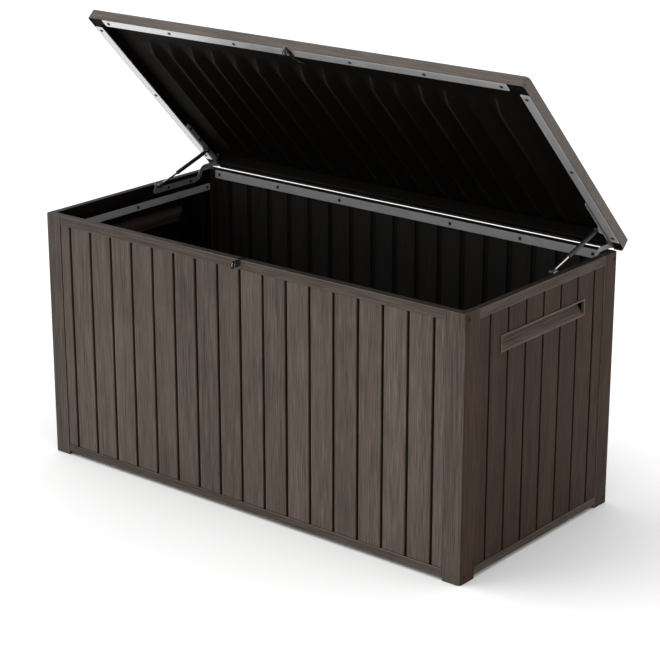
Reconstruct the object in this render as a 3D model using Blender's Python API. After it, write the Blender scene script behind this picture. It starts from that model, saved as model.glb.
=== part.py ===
"""Deck storage box: a planked resin bin on four corner posts, whose lid turns on gooseneck arms at the
back and is held open by two gas struts. Metres, +Z up, front at -Y. The lid is modelled open.

Origin: the middle of the footprint, on the ground.
"""

import math

import bmesh
import bpy
from mathutils import Vector
from mathutils.geometry import convex_hull_2d

# Bin
WIDTH = 1.404
DEPTH = 0.670
HEIGHT = 0.6955
FRONT_WALL = 0.024
SIDE_WALL = 0.020
FRONT_PLANK_INSET = 0.004
GROUND_GAP = 0.010
BOTTOM_RAIL_TOP = 0.0313
TOP_RAIL_BOTTOM = 0.6698
RAIL_PROUD = 0.001
POST_ON_FRONT = 0.054
POST_ON_SIDE = 0.060
POST_RADIUS = 0.010
POST_INNER_RADIUS = 0.006
GAP = 0.0003

# Planks: grooves outside, wider channels inside
PLANK_PITCH = 0.0764
FRONT_GROOVES = 17
SIDE_GROOVES = 7
GROOVE_WIDTH = 0.008
GROOVE_DEPTH = 0.005
CHANNEL_WIDTH = 0.020
CHANNEL_DEPTH = 0.004

# Handle recess in each end
HANDLE_LENGTH = 0.362
HANDLE_BOTTOM = 0.564
HANDLE_TOP = 0.601
HANDLE_DEPTH = 0.026
HANDLE_LIP = 0.0012

# Lid, described closed
LID_WIDTH = 1.430
LID_DEPTH = 0.701
LID_TOP = 0.7295
LID_HEIGHT = 0.029
LID_SKIN = 0.004
LID_SKIRT = 0.003
LID_RADIUS = 0.012
LID_BORDER = 0.026
LID_GROOVE_DEPTH = 0.003
LID_OPEN_DEG = 46.2
RIB_DEPTH = 0.019
LID_RIBS = 16
RIB_HALF_BASE = 0.026
RIB_HALF_CREST = 0.004
PAN_FRONT = -0.3195
PAN_REAR = 0.3255
PAN_HALF_WIDTH = 0.684

# Flat steel bars and their screws
LID_BAR_WIDTH = 0.026
LID_BAR_THICK = 0.0025
LID_BAR_BOTTOM = 0.6996
FRONT_BAR_HALF = 0.661
SIDE_BAR_FRONT = -0.3102
SIDE_BAR_REAR = 0.3188
WALL_BAR_THICK = 0.003
BACK_BAR_HALF = 0.660
BACK_BAR_Z = (0.6714, 0.6950)
WALL_BAR_HALF = 0.3040
WALL_BAR_Z = (0.6330, 0.6530)
LONG_BAR_SCREWS = (-0.6434, -0.4187, -0.1913, 0.1913, 0.4187, 0.6434)
LID_SIDE_SCREWS = (-0.2945, 0.003, 0.300)
WALL_SCREWS = (-0.292, 0.0, 0.292)
SCREW_HOLE = 0.0020
SCREW_HEAD = 0.0048
SCREW_SHANK = 0.0017
SCREW_LENGTH = 0.010

# Hinge and strut points in the Y-Z plane; the lid's are given closed
PIVOT = (0.3441, 0.7033)
LID_ARM_TIP = (0.1550, 0.7048)
STRUT_ON_LID = (0.2637, 0.6971)
STRUT_ON_BIN = (0.0790, 0.6925)
ARM_THICK = 0.0025
BIN_ARM_LOW = 0.676
BIN_ARM_HIGH = 0.7075
ARM_HALF_WIDTH = 0.0065
BIN_ARM_X = 0.6792
LID_ARM_X = 0.6762
STRUT_X = 0.6682
PIN_RADIUS = 0.0025
RUNNING_GAP = 0.0002

# Gas strut
CYLINDER_RADIUS = 0.0058
CYLINDER_END = 0.138
BORE_RADIUS = 0.0034
BORE_START = 0.072
ROD_RADIUS = 0.003
ROD_LENGTH = 0.098
EYE_WIDTH = 0.012
EYE_RADIUS = 0.0068

# Padlock eyes
LOCK_POINT = (-0.354, 0.6855)
LOCK_EYE = 0.0105
LOCK_HOLE = 0.0064
LOCK_THICK = 0.003

# Ribs under the floor
FLOOR_RIBS = (-0.6, -0.3, 0.0, 0.3, 0.6)
FLOOR_RIB_REACH = 0.300
FLOOR_RIB_THICK = 0.006
FLOOR_RIB_LOW = 0.014

SIDES = {"left": -1, "right": 1}


def clear_scene():
    for obj in list(bpy.data.objects):
        bpy.data.objects.remove(obj, do_unlink=True)


def make_material(name, colour, roughness, metallic=0.0):
    material = bpy.data.materials.new(name)
    material.use_nodes = True
    shader = material.node_tree.nodes["Principled BSDF"]
    shader.inputs["Base Color"].default_value = (*colour, 1.0)
    shader.inputs["Roughness"].default_value = roughness
    shader.inputs["Metallic"].default_value = metallic
    return material


clear_scene()
RESIN = make_material("resin_wood_grain", (0.090, 0.072, 0.060), 0.62)
RESIN_DARK = make_material("resin_inside", (0.030, 0.024, 0.020), 0.70)
STEEL = make_material("steel_bar", (0.42, 0.42, 0.43), 0.38, 1.0)
BLACK_STEEL = make_material("black_steel", (0.045, 0.045, 0.048), 0.42, 0.8)
CHROME = make_material("chrome", (0.80, 0.80, 0.82), 0.12, 1.0)


def make_object(name, bm, material, parent=None, origin=(0, 0, 0)):
    """An object whose mesh is given in the parent's (or the world's) frame, with its own origin."""
    bmesh.ops.translate(bm, verts=bm.verts, vec=-Vector(origin))
    bmesh.ops.recalc_face_normals(bm, faces=bm.faces)
    mesh = bpy.data.meshes.new(name)
    bm.to_mesh(mesh)
    bm.free()
    mesh.materials.append(material)
    obj = bpy.data.objects.new(name, mesh)
    obj.location = origin
    obj.parent = parent
    bpy.context.scene.collection.objects.link(obj)
    return obj


def make_empty(name, location, x_angle=0.0, z_angle=0.0, parent=None):
    empty = bpy.data.objects.new(name, None)
    empty.location = location
    empty.rotation_euler = (x_angle, 0.0, z_angle)
    empty.parent = parent
    bpy.context.scene.collection.objects.link(empty)
    return empty


def add_box(bm, low, high):
    size = [b - a for a, b in zip(low, high)]
    centre = [(a + b) / 2 for a, b in zip(low, high)]
    made = bmesh.ops.create_cube(bm, size=1.0)["verts"]
    bmesh.ops.scale(bm, vec=size, verts=made)
    bmesh.ops.translate(bm, vec=centre, verts=made)


def boxes(pairs):
    bm = bmesh.new()
    for low, high in pairs:
        add_box(bm, low, high)
    return bm


def prism(outline, start, end, axis="Z"):
    """A closed outline extruded along an axis, its two coordinates being the other two axes in order."""
    low, high = sorted((start, end))
    place = {
        "X": lambda a, b, along: (along, a, b),
        "Y": lambda a, b, along: (a, along, b),
        "Z": lambda a, b, along: (a, b, along),
    }[axis]
    bm = bmesh.new()
    face = bm.faces.new([bm.verts.new(place(a, b, low)) for a, b in outline])
    made = bmesh.ops.extrude_face_region(bm, geom=[face])["geom"]
    moved = [item for item in made if isinstance(item, bmesh.types.BMVert)]
    bmesh.ops.translate(bm, verts=moved, vec=Vector(place(0, 0, high)) - Vector(place(0, 0, low)))
    return bm


def turned(profile, centre, axis="X", segments=20):
    """A body of revolution. The profile is a list of (position along the axis, radius)."""
    bm = bmesh.new()
    rings = []
    for along, radius in profile:
        count = segments if radius > 0 else 1
        ring = []
        for step in range(count):
            angle = 2 * math.pi * step / segments
            a, b = radius * math.cos(angle), radius * math.sin(angle)
            point = {"X": (along, a, b), "Y": (a, along, b), "Z": (a, b, along)}[axis]
            ring.append(bm.verts.new(Vector(point) + Vector(centre)))
        rings.append(ring)
    for first, second in zip(rings, rings[1:]):
        for step in range(segments):
            after = (step + 1) % segments
            if len(first) == 1:
                bm.faces.new((first[0], second[step], second[after]))
            elif len(second) == 1:
                bm.faces.new((first[step], first[after], second[0]))
            else:
                bm.faces.new((first[step], first[after], second[after], second[step]))
    return bm


def holes(points, radius, start, end, axis):
    """Cylinders for cutting holes: each point is a centre in the plane across the axis."""
    bm = bmesh.new()
    for a, b in points:
        centre = {"X": (0, a, b), "Y": (a, 0, b), "Z": (a, b, 0)}[axis]
        part = turned([(start, 0), (start, radius), (end, radius), (end, 0)], centre, axis, 16)
        mesh = bpy.data.meshes.new("hole")
        part.to_mesh(mesh)
        part.free()
        bm.from_mesh(mesh)
        bpy.data.meshes.remove(mesh)
    return bm


def helper(name, bm, parent=None):
    """A shape used only by a Boolean: hidden in renders, drawn as wire."""
    obj = make_object(name, bm, RESIN_DARK, parent)
    obj.hide_render = True
    obj.display_type = "WIRE"
    return obj


def boolean(obj, tool, operation="DIFFERENCE"):
    modifier = obj.modifiers.new(tool.name, "BOOLEAN")
    modifier.operation = operation
    modifier.solver = "EXACT"
    modifier.object = tool


def smooth(obj, degrees=35):
    obj.data.shade_smooth()
    obj.data.set_sharp_from_angle(angle=math.radians(degrees))


def arc(centre, radius, start_deg, end_deg, steps):
    for step in range(steps + 1):
        angle = math.radians(start_deg + (end_deg - start_deg) * step / steps)
        yield centre[0] + radius * math.cos(angle), centre[1] + radius * math.sin(angle)


def hull(circles, steps=24):
    """The outline round several circles given as (centre, radius)."""
    points = [point for centre, radius in circles for point in arc(centre, radius, 0, 345, steps - 1)]
    return [points[index] for index in convex_hull_2d(points)]


def bezier(p0, p1, p2, p3, steps):
    for step in range(1, steps + 1):
        t = step / steps
        weights = ((1 - t) ** 3, 3 * t * (1 - t) ** 2, 3 * t * t * (1 - t), t**3)
        yield tuple(sum(w * p[i] for w, p in zip(weights, (p0, p1, p2, p3))) for i in range(2))


def stroke(path, radii):
    """The outline of a band of varying width along a path, with round ends."""
    left, right = [], []
    for index, point in enumerate(path):
        before = Vector(path[max(index - 1, 0)])
        after = Vector(path[min(index + 1, len(path) - 1)])
        along = (after - before).normalized()
        across = Vector((-along.y, along.x)) * radii[index]
        left.append(tuple(Vector(point) + across))
        right.append(tuple(Vector(point) - across))
    ends = []
    for here, towards, radius in ((path[-1], path[-2], radii[-1]), (path[0], path[1], radii[0])):
        heading = math.degrees(math.atan2(here[1] - towards[1], here[0] - towards[0]))
        ends.append(list(arc(here, radius, heading + 75, heading - 75, 6)))
    return left + ends[0] + right[::-1] + ends[1]


def groove_centres(count):
    return [(index - (count - 1) / 2) * PLANK_PITCH for index in range(count)]


def comb(half_length, centres, width, edge, face, root):
    """A cutter's outline: it takes everything from edge to face, and to root at each groove."""
    points = [(-half_length, edge), (-half_length, face)]
    for centre in centres:
        points += [(centre - width / 2, face), (centre - width / 2, root)]
        points += [(centre + width / 2, root), (centre + width / 2, face)]
    return points + [(half_length, face), (half_length, edge)]


def make_panel(name, half_length, wall, inner_inset, grooves, location, z_angle):
    """A planked wall: local X along it, local Y from its outer face inwards."""
    frame = make_empty(name + "_frame", location, z_angle=z_angle)
    low = (-half_length, 0, GROUND_GAP)
    panel = make_object(name, boxes([(low, (half_length, wall, HEIGHT))]), RESIN, frame)
    centres = groove_centres(grooves)
    over = half_length + 0.01
    face = RAIL_PROUD
    outside = comb(over, centres, GROOVE_WIDTH, -0.002, face, face + GROOVE_DEPTH)
    field = (BOTTOM_RAIL_TOP, TOP_RAIL_BOTTOM)
    boolean(panel, helper(name + "_grooves", prism(outside, *field), frame))
    inner = wall - inner_inset
    if inner_inset:
        inside = comb(over, centres, CHANNEL_WIDTH, wall + 0.002, inner, inner - CHANNEL_DEPTH)
        channels = prism(inside, *field)
    else:
        channel = CHANNEL_WIDTH / 2
        channels = boxes(
            ((x - channel, wall - CHANNEL_DEPTH, field[0]), (x + channel, wall + 0.002, field[1]))
            for x in centres
        )
    boolean(panel, helper(name + "_channels", channels, frame))
    return panel, frame


def add_handle(panel, frame):
    """A finger recess with a raised lip, a sloping floor and room behind its top edge."""
    half = HANDLE_LENGTH / 2
    pocket_top = HANDLE_TOP + 0.015
    boss = boxes([((-half - 0.009, SIDE_WALL - 0.006, HANDLE_BOTTOM - 0.011),
                   (half + 0.009, SIDE_WALL + 0.012, pocket_top + 0.010))])
    boolean(panel, helper(panel.name + "_boss", boss, frame), "UNION")
    lip = boxes([((-half - 0.0035, -HANDLE_LIP, HANDLE_BOTTOM - 0.0035),
                  (half + 0.0035, 0.008, HANDLE_TOP + 0.0035))])
    boolean(panel, helper(panel.name + "_lip", lip, frame), "UNION")
    section = [
        (-0.003, HANDLE_BOTTOM),
        (-0.003, HANDLE_TOP),
        (0.006, HANDLE_TOP),
        (0.006, pocket_top),
        (HANDLE_DEPTH, pocket_top),
        (HANDLE_DEPTH, HANDLE_BOTTOM + 0.026),
        (0.0, HANDLE_BOTTOM),
    ]
    boolean(panel, helper(panel.name + "_recess", prism(section, -half, half, "X"), frame))


def make_panels():
    front_half = WIDTH / 2 - POST_ON_FRONT - GAP
    side_half = DEPTH / 2 - POST_ON_SIDE - GAP
    long_wall = (front_half, FRONT_WALL, FRONT_PLANK_INSET, FRONT_GROOVES)
    short_wall = (side_half, SIDE_WALL, 0.0, SIDE_GROOVES)
    quarter = math.pi / 2
    make_panel("front_panel", *long_wall, (0, -DEPTH / 2, 0), 0.0)
    back = make_panel("back_panel", *long_wall, (0, DEPTH / 2, 0), 2 * quarter)[0]
    ends = {}
    for side, sign in SIDES.items():
        panel, frame = make_panel(side + "_panel", *short_wall, (sign * WIDTH / 2, 0, 0), sign * quarter)
        add_handle(panel, frame)
        ends[side] = panel
    return back, ends


def make_posts():
    """An L-shaped post at each corner, standing on the ground as a foot."""
    posts = {}
    for side, sign_x in SIDES.items():
        for end, sign_y in {"front": -1, "back": 1}.items():
            x, y = WIDTH / 2, DEPTH / 2
            r, inner = POST_RADIUS, POST_INNER_RADIUS
            outline = [(x - POST_ON_FRONT, y)]
            outline += arc((x - r, y - r), r, 90, 0, 6)
            outline += [(x, y - POST_ON_SIDE), (x - SIDE_WALL, y - POST_ON_SIDE)]
            outline += arc((x - SIDE_WALL - inner, y - FRONT_WALL - inner), inner, 0, 90, 8)
            outline += [(x - POST_ON_FRONT, y - FRONT_WALL)]
            mirrored = [(sign_x * a, sign_y * b) for a, b in outline]
            name = f"corner_post_{end}_{side}"
            posts[end, side] = make_object(name, prism(mirrored, 0, HEIGHT), RESIN)
            smooth(posts[end, side])
    return posts


def make_floor():
    """The base plate rests on the ledge along the long walls' bottom rails, with cross ribs below it."""
    bottom = BOTTOM_RAIL_TOP + GAP
    x_end, y_ledge = WIDTH / 2 - SIDE_WALL - GAP, DEPTH / 2 - FRONT_WALL + FRONT_PLANK_INSET - GAP
    y_post = DEPTH / 2 - FRONT_WALL - GAP
    x_post = WIDTH / 2 - POST_ON_FRONT - 2 * GAP
    cut = POST_INNER_RADIUS + 0.002
    quadrant = [(x_end, y_post - cut), (x_end - cut, y_post), (x_post, y_post), (x_post, y_ledge)]
    outline = []
    for turn, (sx, sy) in enumerate(((1, 1), (-1, 1), (-1, -1), (1, -1))):
        corner = quadrant if turn % 2 == 0 else quadrant[::-1]
        outline += [(sx * x, sy * y) for x, y in corner]
    floor = make_object("floor_panel", prism(outline, bottom, bottom + 0.008), RESIN_DARK)
    reach, half = FLOOR_RIB_REACH, FLOOR_RIB_THICK / 2
    ribs = boxes(((x - half, -reach, FLOOR_RIB_LOW), (x + half, reach, bottom + 0.002)) for x in FLOOR_RIBS)
    boolean(floor, helper("floor_ribs", ribs), "UNION")


def make_screw(name, place, towards, axis, parent=None):
    """A pan-head screw: its head's underside is at the place and its shank points along + or - the axis."""
    head = [(-0.0022, 0), (-0.0022, 0.0030), (-0.0012, SCREW_HEAD), (0, SCREW_HEAD)]
    profile = head + [(0, SCREW_SHANK), (SCREW_LENGTH, SCREW_SHANK), (SCREW_LENGTH, 0)]
    facing = [(towards * along, radius) for along, radius in profile]
    screw = make_object(name, turned(facing, (0, 0, 0), axis, 14), BLACK_STEEL)
    screw.location = place
    screw.parent = parent
    smooth(screw)


def make_wall_bars(back, ends, posts):
    """Flat steel bars that stiffen the bin's back and ends, screwed on from inside."""
    face = DEPTH / 2 - FRONT_WALL - GAP
    inner = face - WALL_BAR_THICK
    low, high = BACK_BAR_Z
    flat = boxes([((-BACK_BAR_HALF, inner, low), (BACK_BAR_HALF, face, high))])
    bar = make_object("back_frame_bar", flat, STEEL)
    z = (BACK_BAR_Z[0] + BACK_BAR_Z[1]) / 2
    points = [(x, z) for x in LONG_BAR_SCREWS]
    cutter = helper("back_bar_holes", holes(points, SCREW_HOLE, inner - 0.005, inner + 0.012, "Y"))
    boolean(bar, cutter)
    boolean(back, cutter)
    for number, x in enumerate(LONG_BAR_SCREWS, 1):
        make_screw(f"back_bar_screw_{number}", (x, inner - GAP, z), 1, "Y")
    face = WIDTH / 2 - SIDE_WALL - GAP
    inner = face - WALL_BAR_THICK
    z = (WALL_BAR_Z[0] + WALL_BAR_Z[1]) / 2
    for side, sign in SIDES.items():
        low, high = sorted((sign * inner, sign * face))
        flat = boxes([((low, -WALL_BAR_HALF, WALL_BAR_Z[0]), (high, WALL_BAR_HALF, WALL_BAR_Z[1]))])
        bar = make_object(f"{side}_frame_bar", flat, STEEL)
        points = [(y, z) for y in WALL_SCREWS]
        start, end = sorted((sign * (inner - 0.005), sign * (inner + 0.0112)))
        cutter = helper(f"{side}_bar_holes", holes(points, SCREW_HOLE, start, end, "X"))
        for target in (bar, ends[side], posts["front", side], posts["back", side]):
            boolean(target, cutter)
        for number, y in enumerate(WALL_SCREWS, 1):
            make_screw(f"{side}_bar_screw_{number}", (sign * (inner - GAP), y, z), sign, "X")


def lid_object(name, bm, material, lid):
    """A lid piece: its mesh is given closed, in world axes, and hangs on the pivot's frame."""
    return make_object(name, shift_to_pivot(bm), material, lid)


def lid_helper(name, bm, lid):
    return helper(name, shift_to_pivot(bm), lid)


def shift_to_pivot(bm):
    bmesh.ops.translate(bm, verts=bm.verts, vec=(0, -PIVOT[0], -PIVOT[1]))
    return bm


def opened(point):
    """Where a point of the closed lid, given in the Y-Z plane, lies with the lid open."""
    angle = math.radians(LID_OPEN_DEG)
    y, z = point[0] - PIVOT[0], point[1] - PIVOT[1]
    return (
        PIVOT[0] + y * math.cos(angle) + z * math.sin(angle),
        PIVOT[1] - y * math.sin(angle) + z * math.cos(angle),
    )


def rounded_rectangle(half_x, half_y, radius):
    outline = []
    for sx, sy, start in ((1, 1, 0), (-1, 1, 90), (-1, -1, 180), (1, -1, 270)):
        centre = (sx * (half_x - radius), sy * (half_y - radius))
        outline += arc(centre, radius, start, start + 90, 6)
    return outline


def corrugated_pan():
    """The hollow under the lid: its roof dips at each rib, and the ribs run out before the front edge."""
    roof = LID_TOP - LID_SKIN
    columns = [(-PAN_HALF_WIDTH, 0.0)]
    for centre in groove_centres(LID_RIBS):
        columns += [(centre - RIB_HALF_BASE, 0.0), (centre - RIB_HALF_CREST, 1.0)]
        columns += [(centre + RIB_HALF_CREST, 1.0), (centre + RIB_HALF_BASE, 0.0)]
    columns.append((PAN_HALF_WIDTH, 0.0))
    rows = [(PAN_FRONT, 0.0), (-0.2655, 0.0), (-0.2435, 0.3), (-0.1885, 1.0)]
    rows += [(0.2835, 1.0), (0.3055, 0.0), (PAN_REAR, 0.0)]
    bm = bmesh.new()
    top = [[bm.verts.new((x, y, roof - RIB_DEPTH * a * b)) for x, a in columns] for y, b in rows]
    base = [[bm.verts.new((x, y, 0.690)) for x, _ in columns] for y, _ in rows]
    for grid in (top, base):
        for first, second in zip(grid, grid[1:]):
            for i in range(len(columns) - 1):
                bm.faces.new((first[i], first[i + 1], second[i + 1], second[i]))
    for upper, lower in ((top[0], base[0]), (top[-1], base[-1])):
        for i in range(len(columns) - 1):
            bm.faces.new((upper[i], upper[i + 1], lower[i + 1], lower[i]))
    for i in (0, -1):
        for row in range(len(rows) - 1):
            bm.faces.new((top[row][i], top[row + 1][i], base[row + 1][i], base[row][i]))
    return bm


def make_lid(lid):
    half_x, half_y = LID_WIDTH / 2, LID_DEPTH / 2
    rim = LID_TOP - LID_HEIGHT
    ledge = LID_BAR_BOTTOM + LID_BAR_THICK + GAP
    shell = lid_object(
        "lid_shell", prism(rounded_rectangle(half_x, half_y, LID_RADIUS), rim, LID_TOP), RESIN, lid
    )
    inner_x, inner_y = half_x - LID_SKIRT, half_y - LID_SKIRT
    recess = prism(rounded_rectangle(inner_x, inner_y, LID_RADIUS - LID_SKIRT), 0.690, ledge)
    boolean(shell, lid_helper("lid_ledge", recess, lid))
    boolean(shell, lid_helper("lid_pan", corrugated_pan(), lid))
    corners = []
    notches = []
    for sign in SIDES.values():
        x0, x1 = sorted((sign * 0.665, sign * 0.709))
        corners.append(((x0, -inner_y + 0.003, 0.690), (x1, -0.3135, LID_TOP - 0.007)))
        x0, x1 = sorted((sign * 0.6720, sign * 0.6848))
        notches.append(((x0, 0.3192, 0.690), (x1, half_y + 0.005, 0.7195)))
    boolean(shell, lid_helper("lid_corner_pockets", boxes(corners), lid))
    boolean(shell, lid_helper("lid_hinge_notches", boxes(notches), lid))
    reach, half = half_y - LID_BORDER, GROOVE_WIDTH / 2
    floor = LID_TOP - LID_GROOVE_DEPTH
    grooves = groove_centres(FRONT_GROOVES)
    slots = boxes(((x - half, -reach, floor), (x + half, reach, LID_TOP + 0.002)) for x in grooves)
    boolean(shell, lid_helper("lid_grooves", slots, lid))
    pads = []
    for sign in SIDES.values():
        for y in (0.168, 0.235):
            x0, x1 = sorted((sign * (LID_ARM_X + ARM_THICK + GAP), sign * 0.6855))
            pads.append(((x0, y - 0.006, 0.7028), (x1, y + 0.006, 0.7108)))
    boolean(shell, lid_helper("lid_arm_pads", boxes(pads), lid), "UNION")
    make_lid_bars(shell, lid)


def make_lid_bars(shell, lid):
    """Flat steel bars along the lid's front and ends, screwed up into its rim."""
    front_edge = -LID_DEPTH / 2 + LID_SKIRT + 0.001
    top = LID_BAR_BOTTOM + LID_BAR_THICK
    outer = LID_WIDTH / 2 - LID_SKIRT - 0.001
    inner = outer - LID_BAR_WIDTH
    bars = {"front": ((-FRONT_BAR_HALF, front_edge), (FRONT_BAR_HALF, front_edge + LID_BAR_WIDTH))}
    screws = {"front": [(x, front_edge + LID_BAR_WIDTH / 2) for x in LONG_BAR_SCREWS]}
    for side, sign in SIDES.items():
        low, high = sorted((sign * inner, sign * outer))
        bars[side] = ((low, SIDE_BAR_FRONT), (high, SIDE_BAR_REAR))
        screws[side] = [((low + high) / 2, y) for y in LID_SIDE_SCREWS]
    for where, (low, high) in bars.items():
        bar = lid_object(f"lid_{where}_bar", boxes([((*low, LID_BAR_BOTTOM), (*high, top))]), STEEL, lid)
        drilled = holes(screws[where], SCREW_HOLE, 0.690, 0.7102, "Z")
        cutter = lid_helper(f"lid_{where}_bar_holes", drilled, lid)
        boolean(bar, cutter)
        boolean(shell, cutter)
        for number, (x, y) in enumerate(screws[where], 1):
            place = (x, y - PIVOT[0], LID_BAR_BOTTOM - GAP - PIVOT[1])
            make_screw(f"lid_{where}_screw_{number}", place, 1, "Z", lid)


def make_bin_arms():
    """Gooseneck arms: a bar inside the end wall that rises and passes over the back rim to the pivot."""
    low, high = BIN_ARM_LOW, BIN_ARM_HIGH
    path = [(0.0745, low), (0.150, low), (0.242, low)]
    path += bezier(path[-1], (0.269, low), (0.259, high), (0.289, high), 12)
    path += [(0.302, high), (0.315, high)]
    path += bezier(path[-1], (0.327, high), (0.336, 0.7065), PIVOT, 8)
    radii = [0.008, 0.008, 0.008] + [ARM_HALF_WIDTH] * (len(path) - 3)
    band = stroke(path, radii)
    ear = hull([(STRUT_ON_BIN, 0.0075), ((STRUT_ON_BIN[0], low), 0.0078), ((0.095, low), 0.0075)])
    for side, sign in SIDES.items():
        start, end = sign * BIN_ARM_X, sign * (BIN_ARM_X + ARM_THICK)
        arm = make_object(f"bin_arm_{side}", prism(band, start, end, "X"), BLACK_STEEL)
        boolean(arm, helper(f"bin_arm_ear_{side}", prism(ear, start, end, "X")), "UNION")
        reach = sorted((start - sign * 0.01, end + sign * 0.01))
        boolean(arm, helper(f"bin_arm_hole_{side}", holes([PIVOT], PIN_RADIUS + RUNNING_GAP, *reach, "X")))


def make_lid_arms(lid):
    """Straps on the lid with a lug for the strut's upper stud."""
    path = [LID_ARM_TIP, (0.243, LID_ARM_TIP[1]), (0.319, LID_ARM_TIP[1])]
    path += bezier(path[-1], (0.328, LID_ARM_TIP[1]), (0.336, 0.7045), PIVOT, 6)
    strap = stroke(path, [ARM_HALF_WIDTH] * len(path))
    lug = hull([(STRUT_ON_LID, 0.007), ((0.249, 0.7025), 0.006), ((0.279, 0.7025), 0.006)])
    for side, sign in SIDES.items():
        start, end = sign * LID_ARM_X, sign * (LID_ARM_X + ARM_THICK)
        arm = lid_object(f"lid_arm_{side}", prism(strap, start, end, "X"), BLACK_STEEL, lid)
        boolean(arm, lid_helper(f"lid_arm_lug_{side}", prism(lug, start, end, "X"), lid), "UNION")
        reach = sorted((start - sign * 0.01, end + sign * 0.01))
        cutter = holes([PIVOT, STRUT_ON_LID], PIN_RADIUS + RUNNING_GAP, *reach, "X")
        boolean(arm, lid_helper(f"lid_arm_hole_{side}", cutter, lid))


def make_pins():
    """Riveted hinge pins through each pair of arms."""
    inboard, outboard = LID_ARM_X - GAP, BIN_ARM_X + ARM_THICK + GAP
    head = 0.0045
    profile = [(inboard - 0.0017, 0), (inboard - 0.0017, head), (inboard, head), (inboard, PIN_RADIUS)]
    profile += [(outboard, PIN_RADIUS), (outboard, head), (outboard + 0.0015, head), (outboard + 0.0015, 0)]
    for side, sign in SIDES.items():
        bm = turned([(sign * along, radius) for along, radius in profile], (0, *PIVOT), "X", 24)
        smooth(make_object(f"hinge_pin_{side}", bm, STEEL, origin=(sign * LID_ARM_X, *PIVOT)))


def make_struts():
    """Gas struts drawn extended: cylinder hung from the lid arm, rod running to the bin arm's ear."""
    top = opened(STRUT_ON_LID)
    along = Vector((STRUT_ON_BIN[0] - top[0], STRUT_ON_BIN[1] - top[1]))
    length = along.length
    heading = math.atan2(along.y, along.x)
    outer_face = EYE_WIDTH / 2
    tube = [(0.004, 0), (0.004, 0.0038), (0.009, 0.0038), (0.0115, CYLINDER_RADIUS)]
    tube += [(CYLINDER_END - 0.003, CYLINDER_RADIUS), (CYLINDER_END, CYLINDER_RADIUS - 0.0012)]
    tube += [(CYLINDER_END, BORE_RADIUS), (BORE_START, BORE_RADIUS), (BORE_START, 0)]
    rod = [(length - ROD_LENGTH, 0), (length - ROD_LENGTH, ROD_RADIUS - 0.0004)]
    rod += [(length - ROD_LENGTH + 0.0006, ROD_RADIUS), (length - 0.010, ROD_RADIUS)]
    rod += [(length - 0.009, 0.0038), (length - 0.003, 0.0038), (length - 0.003, 0)]
    eye = [(-outer_face, 0), (-outer_face, EYE_RADIUS), (outer_face, EYE_RADIUS), (outer_face, 0)]
    for side, sign in SIDES.items():
        frame = make_empty(f"strut_frame_{side}", (sign * STRUT_X, *top), x_angle=heading)
        barrel = turned(tube, (0, 0, 0), "Y", 28)
        cylinder = make_object(f"strut_cylinder_{side}", barrel, BLACK_STEEL, frame)
        boolean(cylinder, helper(f"strut_top_eye_{side}", turned(eye, (0, 0, 0), "X", 24), frame), "UNION")
        bore = holes([(0, 0)], PIN_RADIUS + RUNNING_GAP, -0.01, 0.01, "X")
        boolean(cylinder, helper(f"strut_top_hole_{side}", bore, frame))
        shaft = make_object(f"strut_rod_{side}", turned(rod, (0, 0, 0), "Y", 20), CHROME, frame)
        puck = turned(eye, (0, length, 0), "X", 24)
        boolean(shaft, helper(f"strut_low_eye_{side}", puck, frame), "UNION")
        smooth(cylinder)
        smooth(shaft)


def make_studs(lid):
    """Studs that carry the struts: each ends just short of its strut's eye."""
    eye_out = STRUT_X + EYE_WIDTH / 2
    lid_face, bin_face = LID_ARM_X - GAP, BIN_ARM_X - GAP
    upper = [(eye_out + GAP, 0), (eye_out + GAP, 0.0050), (lid_face, 0.0050), (lid_face, 0)]
    lower = [(eye_out + GAP, 0), (eye_out + GAP, 0.0030), (bin_face - 0.0012, 0.0030)]
    lower += [(bin_face - 0.0012, 0.0050), (bin_face, 0.0050), (bin_face, 0)]
    for side, sign in SIDES.items():
        mirrored = [(sign * along, radius) for along, radius in upper]
        smooth(lid_object(f"upper_stud_{side}", turned(mirrored, (0, *STRUT_ON_LID), "X", 20), STEEL, lid))
        mirrored = [(sign * along, radius) for along, radius in lower]
        smooth(make_object(f"lower_stud_{side}", turned(mirrored, (0, *STRUT_ON_BIN), "X", 20), STEEL))


def make_bin_lock():
    """A bracket over the front rim with an eye for a padlock, and its bright eyelet."""
    outer = -DEPTH / 2 - GAP
    plate = 0.001
    top = HEIGHT + GAP
    saddle = boxes([((-0.011, outer - plate, top), (0.011, -DEPTH / 2 + 0.020, top + plate))])
    bracket = make_object("bin_lock_bracket", saddle, BLACK_STEEL)
    apron = boxes([((-0.011, outer - plate, 0.6725), (0.011, outer, top + plate))])
    boolean(bracket, helper("bin_lock_apron", apron), "UNION")
    y, z = LOCK_POINT
    plate_y = outer - plate / 2
    root = [((plate_y - 0.001, z - 0.0085), 0.0008), ((plate_y - 0.001, z + 0.0095), 0.0008)]
    eye = prism(hull([(LOCK_POINT, LOCK_EYE)] + root), -0.001 - LOCK_THICK, -0.001, "X")
    boolean(bracket, helper("bin_lock_eye", eye), "UNION")
    boolean(bracket, helper("bin_lock_hole", holes([LOCK_POINT], LOCK_HOLE, -0.006, 0.0, "X")))
    ring = eyelet_profile(-0.001 - LOCK_THICK / 2)
    smooth(make_object("bin_lock_eyelet", closed_ring(ring, LOCK_POINT), CHROME))


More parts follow.
